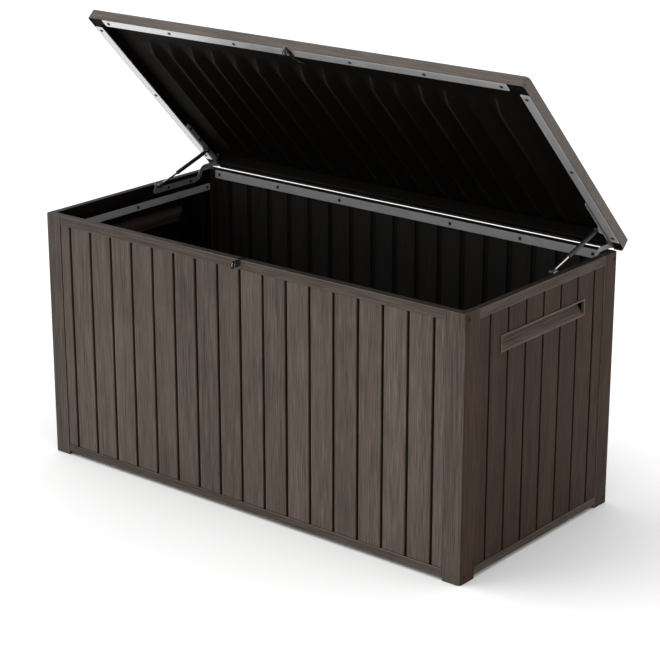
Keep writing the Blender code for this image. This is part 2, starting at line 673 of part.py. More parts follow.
def make_lid_lock(lid):
    """A strap under the lid's front bar whose eye hangs beside the bin's when the lid is shut."""
    top = LID_BAR_BOTTOM - GAP
    low = top - 0.0015
    strap = [(-0.3480, low), (-0.3480, top), (-0.3155, top)]
    strap += [(-0.2735, 0.7135), (-0.2715, 0.7122), (-0.3147, low)]
    bracket = lid_object("lid_lock_bracket", prism(strap, -0.008, 0.008, "X"), BLACK_STEEL, lid)
    y, z = LOCK_POINT
    root = [((y - 0.0085, low + 0.0006), 0.0006), ((y + 0.0105, low + 0.0006), 0.0006)]
    eye = prism(hull([(LOCK_POINT, LOCK_EYE)] + root), 0.001, 0.001 + LOCK_THICK, "X")
    boolean(bracket, lid_helper("lid_lock_eye", eye, lid), "UNION")
    boolean(bracket, lid_helper("lid_lock_hole", holes([LOCK_POINT], LOCK_HOLE, 0.0, 0.006, "X"), lid))
    ring = eyelet_profile(0.001 + LOCK_THICK / 2)
    smooth(lid_object("lid_lock_eyelet", closed_ring(ring, LOCK_POINT), CHROME, lid))


def eyelet_profile(middle):
    half = LOCK_THICK / 2 + 0.0002
    outline = [(middle - half, 0.0050), (middle - half, 0.0061)]
    return outline + [(middle + half, 0.0061), (middle + half, 0.0050)]


def closed_ring(profile, centre, segments=24):
    """A ring turned about X from a closed profile of (position along X, radius)."""
    bm = bmesh.new()
    rings = []
    for along, radius in profile:
        rings.append([bm.verts.new((along, y, z)) for y, z in arc(centre, radius, 0, 345, segments - 1)])
    for first, second in zip(rings, rings[1:] + rings[:1]):
        for step in range(segments):
            after = (step + 1) % segments
            bm.faces.new((first[step], first[after], second[after], second[step]))
    return bm


def build():
    back, ends = make_panels()
    posts = make_posts()
    make_floor()
    make_wall_bars(back, ends, posts)
    lid = make_empty("lid_pivot", (0, *PIVOT), x_angle=-math.radians(LID_OPEN_DEG))
    make_lid(lid)
    make_bin_arms()
    make_lid_arms(lid)
    make_pins()
    make_struts()
    make_studs(lid)
    make_bin_lock()
    make_lid_lock(lid)


build()
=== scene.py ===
import math

import bmesh
import bpy
from mathutils import Matrix, Vector
from mathutils.geometry import convex_hull_2d


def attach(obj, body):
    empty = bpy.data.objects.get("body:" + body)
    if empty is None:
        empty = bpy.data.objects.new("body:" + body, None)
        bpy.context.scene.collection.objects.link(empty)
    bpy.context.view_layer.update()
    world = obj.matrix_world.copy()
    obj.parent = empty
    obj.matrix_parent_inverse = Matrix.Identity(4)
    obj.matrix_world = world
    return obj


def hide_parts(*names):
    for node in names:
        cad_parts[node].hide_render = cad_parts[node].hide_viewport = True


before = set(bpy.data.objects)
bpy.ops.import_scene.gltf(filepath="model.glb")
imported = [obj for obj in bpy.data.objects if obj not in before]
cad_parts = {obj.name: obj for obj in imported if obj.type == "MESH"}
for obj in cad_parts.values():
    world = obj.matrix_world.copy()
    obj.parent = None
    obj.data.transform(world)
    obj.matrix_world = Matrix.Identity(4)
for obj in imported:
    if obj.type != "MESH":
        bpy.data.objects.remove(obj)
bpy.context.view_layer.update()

# Lengths are in metres. X runs along the front, Y from front to back, and Z up from the ground

# Bin
WIDTH = 1.404
DEPTH = 0.670
HEIGHT = 0.6955
FRONT_WALL = 0.024
SIDE_WALL = 0.020
GROUND_GAP = 0.010
BOTTOM_RAIL_TOP = 0.0313
TOP_RAIL_BOTTOM = 0.6698
POST_ON_FRONT = 0.054
POST_ON_SIDE = 0.060
POST_RADIUS = 0.010
POST_INNER_RADIUS = 0.006
GAP = 0.0003

# Planks: their grooves outside and the wider channels inside
PLANK_PITCH = 0.0764
PLANK_INSET = 0.0018
FRONT_GROOVES = 17
SIDE_GROOVES = 7
FRONT_GROOVE = 0.0088
SIDE_GROOVE = 0.0068
LID_GROOVE = 0.0078
GROOVE_DEPTH = 0.0075
GROOVE_LEAN = 0.0008
CHANNEL_WIDTH = 0.019
CHANNEL_DEPTH = 0.005
CHANNEL_LEAN = 0.002
FRONT_INNER_INSET = 0.004
FRONT_POST_GAP = 0.0015
SIDE_POST_GAP = 0.0012

# Handle recess
HANDLE_HALF = 0.181
HANDLE_BOTTOM = 0.564
HANDLE_TOP = 0.601
HANDLE_LIP = 0.0035
HANDLE_LIP_DEPTH = 0.0075
HANDLE_PROUD = 0.0012

# Screws in the posts, measured from the post's outer faces
POST_SCREW_HEIGHTS = (0.0175, 0.6785)
POST_SCREW_IN = 0.0175
POST_HOLE_RADIUS = 0.0052
POST_HOLE_DEPTH = 0.005

# Floor
FLOOR_THICK = 0.008
FLOOR_RIBS = (-0.6, -0.3, 0, 0.3, 0.6)
FLOOR_RIB_HALF = (0.003, 0.300)
FLOOR_RIB_FOOT = 0.014
FLOOR_BEAD_HALF = (0.006, 0.285)
FLOOR_BEAD_RISE = 0.0015

# Steel bars and their screws
BAR_THICK = 0.003
BACK_BAR = (0.660, 0.6714, 0.6950)
BACK_BAR_SCREW_Z = 0.6832
WALL_BAR = (0.3040, 0.6330, 0.6530)
WALL_BAR_SCREW_Z = 0.643
LID_BAR_Z = (0.6996, 0.7021)
LID_BAR_WIDTH = 0.026
LID_BAR_IN = 0.004
LID_FRONT_BAR_HALF = 0.661
LID_SIDE_BAR_Y = (-0.3102, 0.3188)
LONG_BAR_SCREWS = (-0.6434, -0.4187, -0.1913, 0.1913, 0.4187, 0.6434)
LID_SIDE_SCREWS = (-0.2945, 0.003, 0.300)
WALL_SCREWS = (-0.292, 0.0, 0.292)

# Lid, described closed
LID_WIDTH = 1.430
LID_DEPTH = 0.701
LID_TOP = 0.7295
LID_RIM = 0.7005
LID_LEDGE = 0.7024
LID_ROOF = 0.7255
LID_SKIRT = 0.003
LID_RADIUS = 0.012
LID_EDGE_RADIUS = 0.0045
LID_EDGE_STEPS = 6
LID_BORDER = 0.026
LID_GROOVE_DEPTH = 0.003
RIM_CHAMFER = (0.0007, 0.0006)
REAR_DROP = 0.0042
REAR_DROP_ZONE = (0.012, 0.003)
LID_RIBS = 16
PAN_HALF = 0.684
PAN_FRONT = -0.3195
PAN_REAR = 0.3255
PAN_END_SLOPE = 0.012
PAN_SIDE_SLOPE = 0.0015
RIB_DEPTH = 0.0190
RIB_CREST_HALF = 0.0015
RIB_REACH = 0.034
RIB_POWER = 0.85
RIB_START = (-0.2575, -0.1895)
RIB_END = (0.2715, 0.3035)
NOTCH_X = (0.6720, 0.6848)
NOTCH_TOP = 0.7195
NOTCH_FRONT = 0.3192
NOTCH_OPEN_Y = 0.29

# Hinge and struts, as points in the Y-Z plane with the lid closed
PIVOT = (0.3441, 0.7033)
LID_ARM_TIP = (0.1550, 0.7048)
STRUT_ON_LID = (0.2637, 0.6971)
STRUT_ON_BIN = (0.0790, 0.6925)
BIN_ARM_Z = 0.676
BIN_ARM_RISEN = 0.7075
BIN_ARM_SCREWS = (0.128, 0.220)
LID_ARM_SCREWS = (0.168, 0.222)
OPEN_DEG = 46.2
ARM_THICK = 0.0025
ARM_BEAD_PROUD = 0.0004
BIN_ARM_X = 0.6792
LID_ARM_X = 0.6762
STRUT_X = 0.6682

# Padlock eyes
LOCK_POINT = (-0.354, 0.6855)
LOCK_X = 0.0025
LOCK_RING = (0.0083, 0.0021, 18, 0.78)
LOCK_EYELET = (0.0056, 0.0009, 14, 1.9)

SIDES = {"left": -1, "right": 1}

# How dark the rim's top face is, from the outer faces (0) to the inner ones (1)
RIM_SHADE = 0.76
# The part of a wall's thickness beyond which a face counts as an inner one
INNER_FROM = 0.6
# How far below the top a point may lie and still belong to the rim's top face
RIM_BAND = 0.0002

to_pivot = Matrix.Translation((0, *PIVOT))
LID_OPEN = to_pivot @ Matrix.Rotation(-math.radians(OPEN_DEG), 4, "X") @ to_pivot.inverted()


# ---------------- materials

STREAK_SCALE = (640.0, 11.0)
FIGURE_SCALE = (52.0, 2.4)
CLOUD_SCALE = 4.5
STREAK_SHARE = 0.74
PLANK_SHIFT = (3.0, 3.0, 3.0)
PLANK_TONE = 0.11
CLOUD_TONE = (0.92, 1.08)
# Painted shade: the share of their colour that the inner faces keep
INNER_SHADE_TONE = 0.12
# The patchy share of the lightening on rounded edges: partly wear, partly a painted highlight
WORN_AND_LIT_SHARE = (0.12, 0.42)
# Painted shade: grooves, channels and joints marked as cavities turn near black
GROOVE_SHADE = (0.0012, 0.0010, 0.0008, 1)
GRAIN_HEIGHT = 0.0006
BRUSH_SCALE = (420.0, 14.0)
BRUSH_TONE = 0.05
PATINA_SCALE = 22.0
PATINA_TONE = (0.96, 1.04)
BRUSH_HEIGHT = 0.0002


def add(tree, kind, inputs=None, **settings):
    node = tree.nodes.new("ShaderNode" + kind)
    for name, value in settings.items():
        setattr(node, name, value)
    for socket, value in (inputs or {}).items():
        if isinstance(value, bpy.types.NodeSocket):
            tree.links.new(value, node.inputs[socket])
        else:
            node.inputs[socket].default_value = value
    return node


def maths(tree, operation, a, b=0.0):
    return add(tree, "Math", {0: a, 1: b}, operation=operation).outputs[0]


def vector_maths(tree, operation, a, b):
    return add(tree, "VectorMath", {0: a, 1: b}, operation=operation).outputs[0]


def mix_colour(tree, factor, a, b, blend="MIX"):
    inputs = {0: factor, 6: a, 7: b}
    node = add(tree, "Mix", inputs, data_type="RGBA", blend_type=blend)
    return node.outputs[2]


def grey(tree, level):
    return add(tree, "CombineColor", {0: level, 1: level, 2: level}).outputs[0]


def attribute(tree, name):
    return add(tree, "Attribute", attribute_name=name).outputs["Fac"]


def ranged(tree, value, low, high, out_low, out_high):
    inputs = {"Value": value, "From Min": low, "From Max": high}
    inputs.update({"To Min": out_low, "To Max": out_high})
    return add(tree, "MapRange", inputs).outputs[0]


def start_material(name):
    material = bpy.data.materials.new(name)
    material.use_nodes = True
    tree = material.node_tree
    return material, tree, tree.nodes["Principled BSDF"]


def noise(tree, vector, scale, detail=4.0, roughness=0.55, distortion=0.0):
    inputs = {"Vector": vector, "Scale": scale, "Detail": detail}
    inputs.update({"Roughness": roughness, "Distortion": distortion})
    return add(tree, "TexNoise", inputs).outputs["Fac"]


def add_relief(tree, shader, strength, distance, height):
    inputs = {"Strength": strength, "Distance": distance, "Height": height}
    bump = add(tree, "Bump", inputs)
    tree.links.new(bump.outputs[0], shader.inputs["Normal"])


def stretched(scales, axis):
    """The scale on each axis of a pattern drawn out along one of them, or along none."""
    across, lengthwise = scales
    return [lengthwise if letter == axis else across for letter in "XYZ"]


def wood_resin(
    name, grain, colours, planks=None, roughness=(0.50, 0.68), relief=0.6, rubbed_and_lit=None, shine=0.22
):
    """Moulded resin with a wood grain along one axis. Planks is the axis they are laid across."""
    material, tree, shader = start_material(name)
    place = add(tree, "TexCoord").outputs["Object"]
    tone = 0.5
    if planks:
        parts = add(tree, "SeparateXYZ", {0: place})
        index = maths(tree, "FLOOR", maths(tree, "DIVIDE", parts.outputs[planks], PLANK_PITCH))
        random = add(tree, "TexWhiteNoise", {"W": index}, noise_dimensions="1D")
        shift = vector_maths(tree, "MULTIPLY", random.outputs["Color"], PLANK_SHIFT)
        place = vector_maths(tree, "ADD", place, shift)
        tone = random.outputs["Value"]
    fine_place = vector_maths(tree, "MULTIPLY", place, stretched(STREAK_SCALE, grain))
    broad_place = vector_maths(tree, "MULTIPLY", place, stretched(FIGURE_SCALE, grain))
    streak = noise(tree, fine_place, 1.0, 5.0, 0.62)
    figure = noise(tree, broad_place, 1.0, 4.0, 0.6, 0.9)
    cloud = noise(tree, place, CLOUD_SCALE, 3.0, 0.5)
    streak_part = maths(tree, "MULTIPLY", streak, STREAK_SHARE)
    figure_part = maths(tree, "MULTIPLY", figure, 1.0 - STREAK_SHARE)
    ramp = add(tree, "ValToRGB", {0: maths(tree, "ADD", streak_part, figure_part)})
    dark, middle, light = colours
    ramp.color_ramp.elements[0].position = 0.30
    ramp.color_ramp.elements[0].color = (*dark, 1)
    ramp.color_ramp.elements[1].position = 0.72
    ramp.color_ramp.elements[1].color = (*light, 1)
    ramp.color_ramp.elements.new(0.5).color = (*middle, 1)
    plank_level = ranged(tree, tone, 0, 1, -PLANK_TONE, PLANK_TONE)
    level = maths(tree, "ADD", plank_level, ranged(tree, cloud, 0.3, 0.7, *CLOUD_TONE))
    # Painted shade: the inner faces are darkened
    inner_level = ranged(tree, attribute(tree, "inside"), 0, 1, 1.0, INNER_SHADE_TONE)
    level = maths(tree, "MULTIPLY", level, inner_level)
    colour = mix_colour(tree, 1.0, ramp.outputs[0], grey(tree, level), "MULTIPLY")
    outer = ranged(tree, attribute(tree, "inside"), 0, 1, 1.0, 0.0)
    # Rounded edges lighter: partly edge wear, partly a painted highlight
    patchy = ranged(tree, figure, 0.35, 0.65, *WORN_AND_LIT_SHARE)
    worn_and_lit = maths(tree, "MULTIPLY", attribute(tree, "wear_and_highlight"), patchy)
    worn_and_lit = maths(tree, "MULTIPLY", worn_and_lit, outer)
    lighter = rubbed_and_lit or tuple(1.9 * c + 0.012 for c in light)
    colour = mix_colour(tree, worn_and_lit, colour, (*lighter, 1))
    # Painted shade in grooves, channels and joints
    colour = mix_colour(tree, attribute(tree, "cavity_shade"), colour, GROOVE_SHADE)
    tree.links.new(colour, shader.inputs["Base Color"])
    rough = ranged(tree, streak, 0.3, 0.7, roughness[1], roughness[0])
    tree.links.new(rough, shader.inputs["Roughness"])
    height = maths(tree, "ADD", streak, maths(tree, "MULTIPLY", figure, 0.8))
    add_relief(tree, shader, relief, GRAIN_HEIGHT, height)
    shader.inputs["Specular IOR Level"].default_value = shine
    return material


def metal(name, colour, roughness, metallic=1.0, brush=None, worn_colour=None, relief=0.15):
    """Metal or painted metal, brushed along one axis, brighter where its edges are rubbed."""
    material, tree, shader = start_material(name)
    place = add(tree, "TexCoord").outputs["Object"]
    brushed = vector_maths(tree, "MULTIPLY", place, stretched(BRUSH_SCALE, brush))
    lines = noise(tree, brushed, 1.0, 4.0)
    cloud = noise(tree, place, PATINA_SCALE, 4.0, 0.6)
    line_level = ranged(tree, lines, 0.3, 0.7, -BRUSH_TONE, BRUSH_TONE)
    level = maths(tree, "ADD", line_level, ranged(tree, cloud, 0.3, 0.7, *PATINA_TONE))
    base = mix_colour(tree, 1.0, (*colour, 1), grey(tree, level), "MULTIPLY")
    if worn_colour:
        patchy = ranged(tree, cloud, 0.42, 0.6, 0.0, 0.7)
        worn_and_lit = maths(tree, "MULTIPLY", attribute(tree, "wear_and_highlight"), patchy)
        base = mix_colour(tree, worn_and_lit, base, (*worn_colour, 1))
    tree.links.new(base, shader.inputs["Base Color"])
    rough = ranged(tree, cloud, 0.3, 0.7, roughness - 0.03, roughness + 0.04)
    tree.links.new(rough, shader.inputs["Roughness"])
    shader.inputs["Metallic"].default_value = metallic
    add_relief(tree, shader, relief, BRUSH_HEIGHT, lines)
    return material


def scaled(colours, factor):
    return tuple(tuple(factor * channel for channel in colour) for colour in colours)


# Each resin has a dark, a middle and a light tone
BROWN = ((0.020, 0.0140, 0.0106), (0.073, 0.0545, 0.0430), (0.150, 0.116, 0.094))
# A darker copy of the brown for the faces looking sideways: painted shade
BROWN_SIDE_SHADED = ((0.008, 0.0040, 0.0020), (0.029, 0.0142, 0.0076), (0.060, 0.0315, 0.0175))
# A lighter copy of the brown for the lid's skirt and edges: painted light
SKIRT_LIT = ((0.040, 0.031, 0.026), (0.087, 0.070, 0.059), (0.152, 0.126, 0.108))
# The bin's floor near black: painted shade
INNER_SHADED = ((0.0060, 0.0042, 0.0030), (0.0095, 0.0068, 0.0048), (0.0140, 0.0100, 0.0072))
# The lid's underside near black: painted shade
LINING_SHADED = ((0.0020, 0.0014, 0.0009), (0.0034, 0.0023, 0.0015), (0.0056, 0.0039, 0.0026))
# Painted highlight colour for the crests of the lid's ribs
CREST_HIGHLIGHT = (0.075, 0.062, 0.050)
STEEL = (0.66, 0.66, 0.67)
# Darker steel for the bars inside the bin: painted shade. The zinc reuses the wall bars' grey
BACK_STEEL_SHADED = (0.40, 0.40, 0.40)
WALL_STEEL = (0.42, 0.42, 0.43)
BLACK_PAINT = (0.012, 0.012, 0.013)
RUBBED_BLACK = (0.10, 0.10, 0.105)

SIDE_SHINE = 0.12
WALL_FRONT = wood_resin("resin_front", "Z", BROWN, "X")
WALL_SIDE = wood_resin("resin_side", "Z", BROWN_SIDE_SHADED, "Y", shine=SIDE_SHINE)
RAIL_LONG = wood_resin("resin_rail_long", "X", scaled(BROWN, 0.72))
RAIL_SHORT = wood_resin("resin_rail_short", "Y", scaled(BROWN, 0.66), shine=SIDE_SHINE)
HANDLE = wood_resin("resin_handle", "Y", scaled(BROWN, 0.92), shine=SIDE_SHINE)
POST = wood_resin("resin_post", "Z", scaled(BROWN, 0.80))
POST_SIDE_SHADED = wood_resin("resin_post_side_shaded", "Z", scaled(BROWN_SIDE_SHADED, 1.05), shine=SIDE_SHINE)
LID_OUTER = wood_resin("resin_lid", "Y", BROWN, "X")
# The lid's skirt and edges in the lighter copy: painted light
LID_EDGE = wood_resin("resin_lid_edge", "X", SKIRT_LIT)
LID_INNER = wood_resin("resin_lid_inside", "Y", LINING_SHADED, None, (0.60, 0.72), 0.06, CREST_HIGHLIGHT, 0.05)
BASE = wood_resin("resin_base", "X", INNER_SHADED, None, (0.55, 0.68), 0.1)
BAR_X = metal("steel_bar_long", STEEL, 0.40, 0.72, "X", relief=0.02)
BAR_Y = metal("steel_bar_short", STEEL, 0.42, 0.72, "Y", relief=0.02)
BAR_BACK = metal("steel_bar_back", BACK_STEEL_SHADED, 0.45, 0.4, "X", relief=0.02)
BAR_WALL = metal("steel_bar_wall", WALL_STEEL, 0.48, 0.3, "Y", relief=0.02)
BLACK = metal("black_steel", (0.014, 0.014, 0.015), 0.42, 0.0, None, RUBBED_BLACK, 0.1)
ARM = metal("arm_paint", (0.24, 0.24, 0.245), 0.42, 0.35, None, (0.36, 0.36, 0.365), 0.1)
GLOSS = metal("black_gloss", BLACK_PAINT, 0.24, 0.0, None, (0.10, 0.10, 0.10), 0.05)
ZINC = metal("zinc", WALL_STEEL, 0.32, 1.0, relief=0.04)
CHROME = metal("chrome_rod", (0.70, 0.70, 0.72), 0.16, 1.0, relief=0.01)
SCREW = metal("screw_black", BLACK_PAINT, 0.40, 0.2, None, RUBBED_BLACK, 0.1)


# ---------------- meshes

TORUS_SEGMENTS = 56
HULL_STEPS = 48
CAP_DEG = 80


def new_bm():
    bm = bmesh.new()
    for layer in ("wear_and_highlight", "cavity_shade", "inside"):
        bm.verts.layers.float.new(layer)
    return bm


def mesh_from(name, bm):
    mesh = bpy.data.meshes.new(name)
    bm.to_mesh(mesh)
    bm.free()
    return mesh


def new_object(name, data):
    obj = bpy.data.objects.new(name, data)
    bpy.context.scene.collection.objects.link(obj)
    return obj


def darken(bm, rule):
    """Marks how much painted shade each vertex gets: the inner faces are darkened for the shade
    inside the bin.
    """
    inside = bm.verts.layers.float["inside"]
    for vert in bm.verts:
        vert[inside] = rule(vert.co)


def along(axis, a, b, t):
    return {"X": (t, a, b), "Y": (a, t, b), "Z": (a, b, t)}[axis]


def prism(bm, outline, start, end, axis="Z"):
    """Extrudes an outline. A point's third number, if any, is how much painted shade darkens it in
    a groove.
    """
    cavity_shade = bm.verts.layers.float["cavity_shade"]
    rings = []
    for t in (start, end):
        ring = []
        for point in outline:
            vert = bm.verts.new(along(axis, point[0], point[1], t))
            vert[cavity_shade] = point[2] if len(point) > 2 else 0.0
            ring.append(vert)
        rings.append(ring)
    count = len(outline)
    faces = [bm.faces.new(rings[0][::-1]), bm.faces.new(rings[1])]
    for i in range(count):
        j = (i + 1) % count
        faces.append(bm.faces.new((rings[0][i], rings[0][j], rings[1][j], rings[1][i])))
    bmesh.ops.recalc_face_normals(bm, faces=faces)


def block(bm, low, high):
    outline = [(low[0], low[1]), (high[0], low[1]), (high[0], high[1]), (low[0], high[1])]
    prism(bm, outline, low[2], high[2])


def soften(bm, width, segments=3, least=35, only=None):
    """Rounds the convex edges and marks the middle of each rounding to be lighter, partly as edge
    wear and partly as a painted highlight.
    """
    wear_and_highlight = bm.verts.layers.float["wear_and_highlight"]
    edges = []
    for edge in bm.edges:
        if len(edge.link_faces) != 2 or not edge.is_convex:
            continue
        if edge.calc_face_angle(0.0) < math.radians(least):
            continue
        if only is None or only(edge):
            edges.append(edge)
    made = bmesh.ops.bevel(
        bm, geom=edges, offset=width, offset_type="OFFSET", segments=segments, profile=0.5,
        affect="EDGES", clamp_overlap=True,
    )
    rounded = set(made["faces"])
    for vert in made["verts"]:
        if vert.is_valid and all(face in rounded for face in vert.link_faces):
            vert[wear_and_highlight] = 1.0


def turned(bm, profile, centre, axis, segments):
    """A body of revolution from a list of (position along the axis, radius)."""
    rings = []
    for t, radius in profile:
        count = segments if radius > 0 else 1
        ring = []
        for step in range(count):
            angle = 2 * math.pi * step / segments
            point = along(axis, radius * math.cos(angle), radius * math.sin(angle), t)
            ring.append(bm.verts.new(Vector(point) + Vector(centre)))
        rings.append(ring)
    faces = []
    for first, second in zip(rings, rings[1:]):
        for step in range(segments):
            after = (step + 1) % segments
            if len(first) == 1 and len(second) == 1:
                continue
            if len(first) == 1:
                faces.append(bm.faces.new((first[0], second[step], second[after])))
            elif len(second) == 1:
                faces.append(bm.faces.new((first[step], first[after], second[0])))
            else:
                quad = (first[step], first[after], second[after], second[step])
                faces.append(bm.faces.new(quad))
    bmesh.ops.recalc_face_normals(bm, faces=faces)


def torus(bm, centre, radius, thick, sides, flat):
    """A ring around the X axis. Flat scales its thickness along that axis."""
    rings = []
    for step in range(TORUS_SEGMENTS):
        angle = 2 * math.pi * step / TORUS_SEGMENTS
        ring = []
        for side in range(sides):
            turn = 2 * math.pi * side / sides
            reach = radius + thick * math.cos(turn)
            x = flat * thick * math.sin(turn)
            point = (x, reach * math.cos(angle), reach * math.sin(angle))
            ring.append(bm.verts.new(Vector(point) + Vector(centre)))
        rings.append(ring)
    faces = []
    for i in range(TORUS_SEGMENTS):
        a, b = rings[i], rings[(i + 1) % TORUS_SEGMENTS]
        for j in range(sides):
            k = (j + 1) % sides
            faces.append(bm.faces.new((a[j], b[j], b[k], a[k])))
    bmesh.ops.recalc_face_normals(bm, faces=faces)


def arc(centre, radius, start_deg, end_deg, steps):
    """The points of a circular arc, both ends included."""
    for step in range(steps + 1):
        angle = math.radians(start_deg + (end_deg - start_deg) * step / steps)
        yield centre[0] + radius * math.cos(angle), centre[1] + radius * math.sin(angle)


def hull(circles):
    """The outline around a set of circles, each given as (centre, radius)."""
    points = []
    for centre, radius in circles:
        points += arc(centre, radius, 0, 360 - 360 / HULL_STEPS, HULL_STEPS - 1)
    return [points[index] for index in convex_hull_2d(points)]


def bezier(p0, p1, p2, p3, steps):
    """The points of a cubic curve in a plane, without its first one."""
    for step in range(1, steps + 1):
        t = step / steps
        weights = ((1 - t) ** 3, 3 * t * (1 - t) ** 2, 3 * t * t * (1 - t), t**3)
        yield tuple(sum(w * p[i] for w, p in zip(weights, (p0, p1, p2, p3))) for i in range(2))


def stroke(path, radii):
    """The outline of a band along a path, with half its width at each point and round ends."""
    left, right = [], []
    for index, point in enumerate(path):
        before = Vector(path[max(index - 1, 0)])
        after = Vector(path[min(index + 1, len(path) - 1)])
        heading = (after - before).normalized()
        across = Vector((-heading.y, heading.x)) * radii[index]
        left.append(tuple(Vector(point) + across))
        right.append(tuple(Vector(point) - across))
    ends = []
    for here, towards, radius in ((path[-1], path[-2], radii[-1]), (path[0], path[1], radii[0])):
        heading = math.degrees(math.atan2(here[1] - towards[1], here[0] - towards[0]))
        ends.append(list(arc(here, radius, heading + CAP_DEG, heading - CAP_DEG, 14)))
    return left + ends[0] + right[::-1] + ends[1]


def groove_centres(count):
    return [(index - (count - 1) / 2) * PLANK_PITCH for index in range(count)]


def piece(name, bm, material, body, nodes=(), angle=38):
    """Turns a mesh into an object on a body. A lid piece is described closed and then opened."""
    mesh = mesh_from(name, bm)
    mesh.materials.append(material)
    mesh.shade_smooth()
    mesh.set_sharp_from_angle(angle=math.radians(angle))
    obj = new_object(name, mesh)
    if body == "lid":
        obj.matrix_world = LID_OPEN
    weighted = obj.modifiers.new("weighted_normals", "WEIGHTED_NORMAL")
    weighted.keep_sharp = True
    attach(obj, body)
    if nodes:
        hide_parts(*nodes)
    return obj


def subtract(obj, bm):
    """The mesh that is left when a shape is taken out of an object."""
    bmesh.ops.recalc_face_normals(bm, faces=bm.faces)
    tool = new_object("cutter", mesh_from("cutter", bm))
    tool.matrix_world = obj.matrix_world
    modifier = obj.modifiers.new("cut", "BOOLEAN")
    modifier.operation = "DIFFERENCE"
    modifier.solver = "EXACT"
    modifier.object = tool
    obj.modifiers.move(len(obj.modifiers) - 1, 0)
    bpy.context.view_layer.update()
    graph = bpy.context.evaluated_depsgraph_get()
    left = bpy.data.meshes.new_from_object(obj.evaluated_get(graph), depsgraph=graph)
    obj.modifiers.remove(modifier)
    bpy.data.objects.remove(tool)
    return left


def cut(obj, bm):
    """Takes a shape out of a piece, before the modifier that smooths its normals."""
    weighted = obj.modifiers["weighted_normals"]
    weighted.show_viewport = False
    obj.data = subtract(obj, bm)
    weighted.show_viewport = True


# ---------------- bin walls

def comb(low, high, centres, width, face, root, lean=GROOVE_LEAN):
    """A face's outline with a groove at each centre that fits between low and high, the groove
    floors marked for painted shade.
    """
    points = [(low, face)]
    for centre in centres:
        left, right = centre - width / 2, centre + width / 2
        if low < left and right < high:
            points += [(left, face), (left + lean, root, 1.0)]
            points += [(right - lean, root, 1.0), (right, face)]
    return points + [(high, face)]


def upright(edge):
    a, b = edge.verts
    return abs(a.co.z - b.co.z) > 0.9 * (a.co - b.co).length


def add_tongues(bm, half, thick):
    """Fillings behind the joints between a wall and its posts, painted black as shade."""
    near, far = 0.45 * thick, 0.55 * thick
    for end in (-half - 0.004, half - 0.002):
        stop = end + 0.006
        tongue = [(end, near, 1.0), (stop, near, 1.0), (stop, far, 1.0), (end, far, 1.0)]
        prism(bm, tongue, GROUND_GAP + 0.002, HEIGHT - 0.003)


def add_seam(bm, half):
    """A painted shadow line between the planks and the bottom rail."""
    near, far = PLANK_INSET - 0.0004, PLANK_INSET + 0.002
    seam = [(-half, near, 1.0), (half, near, 1.0), (half, far, 1.0), (-half, far, 1.0)]
    prism(bm, seam, BOTTOM_RAIL_TOP - 0.001, BOTTOM_RAIL_TOP + 0.0013)


def wall(name, half, thick, inset, grooves, groove, location, turn, materials, node, handle=False):
    """A planked wall. Locally X runs along it and Y from its outer face inwards."""
    to_world = Matrix.Translation(location) @ Matrix.Rotation(turn, 4, "Z")
    centres = groove_centres(grooves)

    def boards(bm, low, high, z0, z1):
        outer = comb(low, high, centres, groove, PLANK_INSET, PLANK_INSET + GROOVE_DEPTH)
        face = thick - inset
        inner = comb(low, high, centres, CHANNEL_WIDTH, face, face - CHANNEL_DEPTH, CHANNEL_LEAN)
        prism(bm, outer + inner[::-1], z0, z1)

    bm = new_bm()
    z0, z1 = BOTTOM_RAIL_TOP - 0.002, TOP_RAIL_BOTTOM + 0.002
    if handle:
        boards(bm, -half, half, z0, HANDLE_BOTTOM)
        boards(bm, -half, -HANDLE_HALF, HANDLE_BOTTOM, HANDLE_TOP)
        boards(bm, HANDLE_HALF, half, HANDLE_BOTTOM, HANDLE_TOP)
        boards(bm, -half, half, HANDLE_TOP, z1)
    else:
        boards(bm, -half, half, z0, z1)
    soften(bm, 0.0011, 3, 60, upright)
    add_tongues(bm, half, thick)
    add_seam(bm, half)
    # Painted shade on the wall's inner faces
    darken(bm, lambda place: 1.0 if place.y > INNER_FROM * thick else 0.0)
    bmesh.ops.transform(bm, matrix=to_world, verts=bm.verts)
    piece(name, bm, materials[0], "bin", [node])

    # Painted shade on the rails' inner faces; the rim's top face is darkened by RIM_SHADE
    def rail_shade(place):
        return RIM_SHADE if place.z > HEIGHT - RIM_BAND else float(place.y > INNER_FROM * thick)

    bm = new_bm()
    block(bm, (-half, 0, TOP_RAIL_BOTTOM), (half, thick, HEIGHT))
    block(bm, (-half, 0, GROUND_GAP), (half, thick, BOTTOM_RAIL_TOP))
    soften(bm, 0.0018)
    darken(bm, rail_shade)
    bmesh.ops.transform(bm, matrix=to_world, verts=bm.verts)
    piece(name + "_rails", bm, materials[1], "bin")
    return to_world


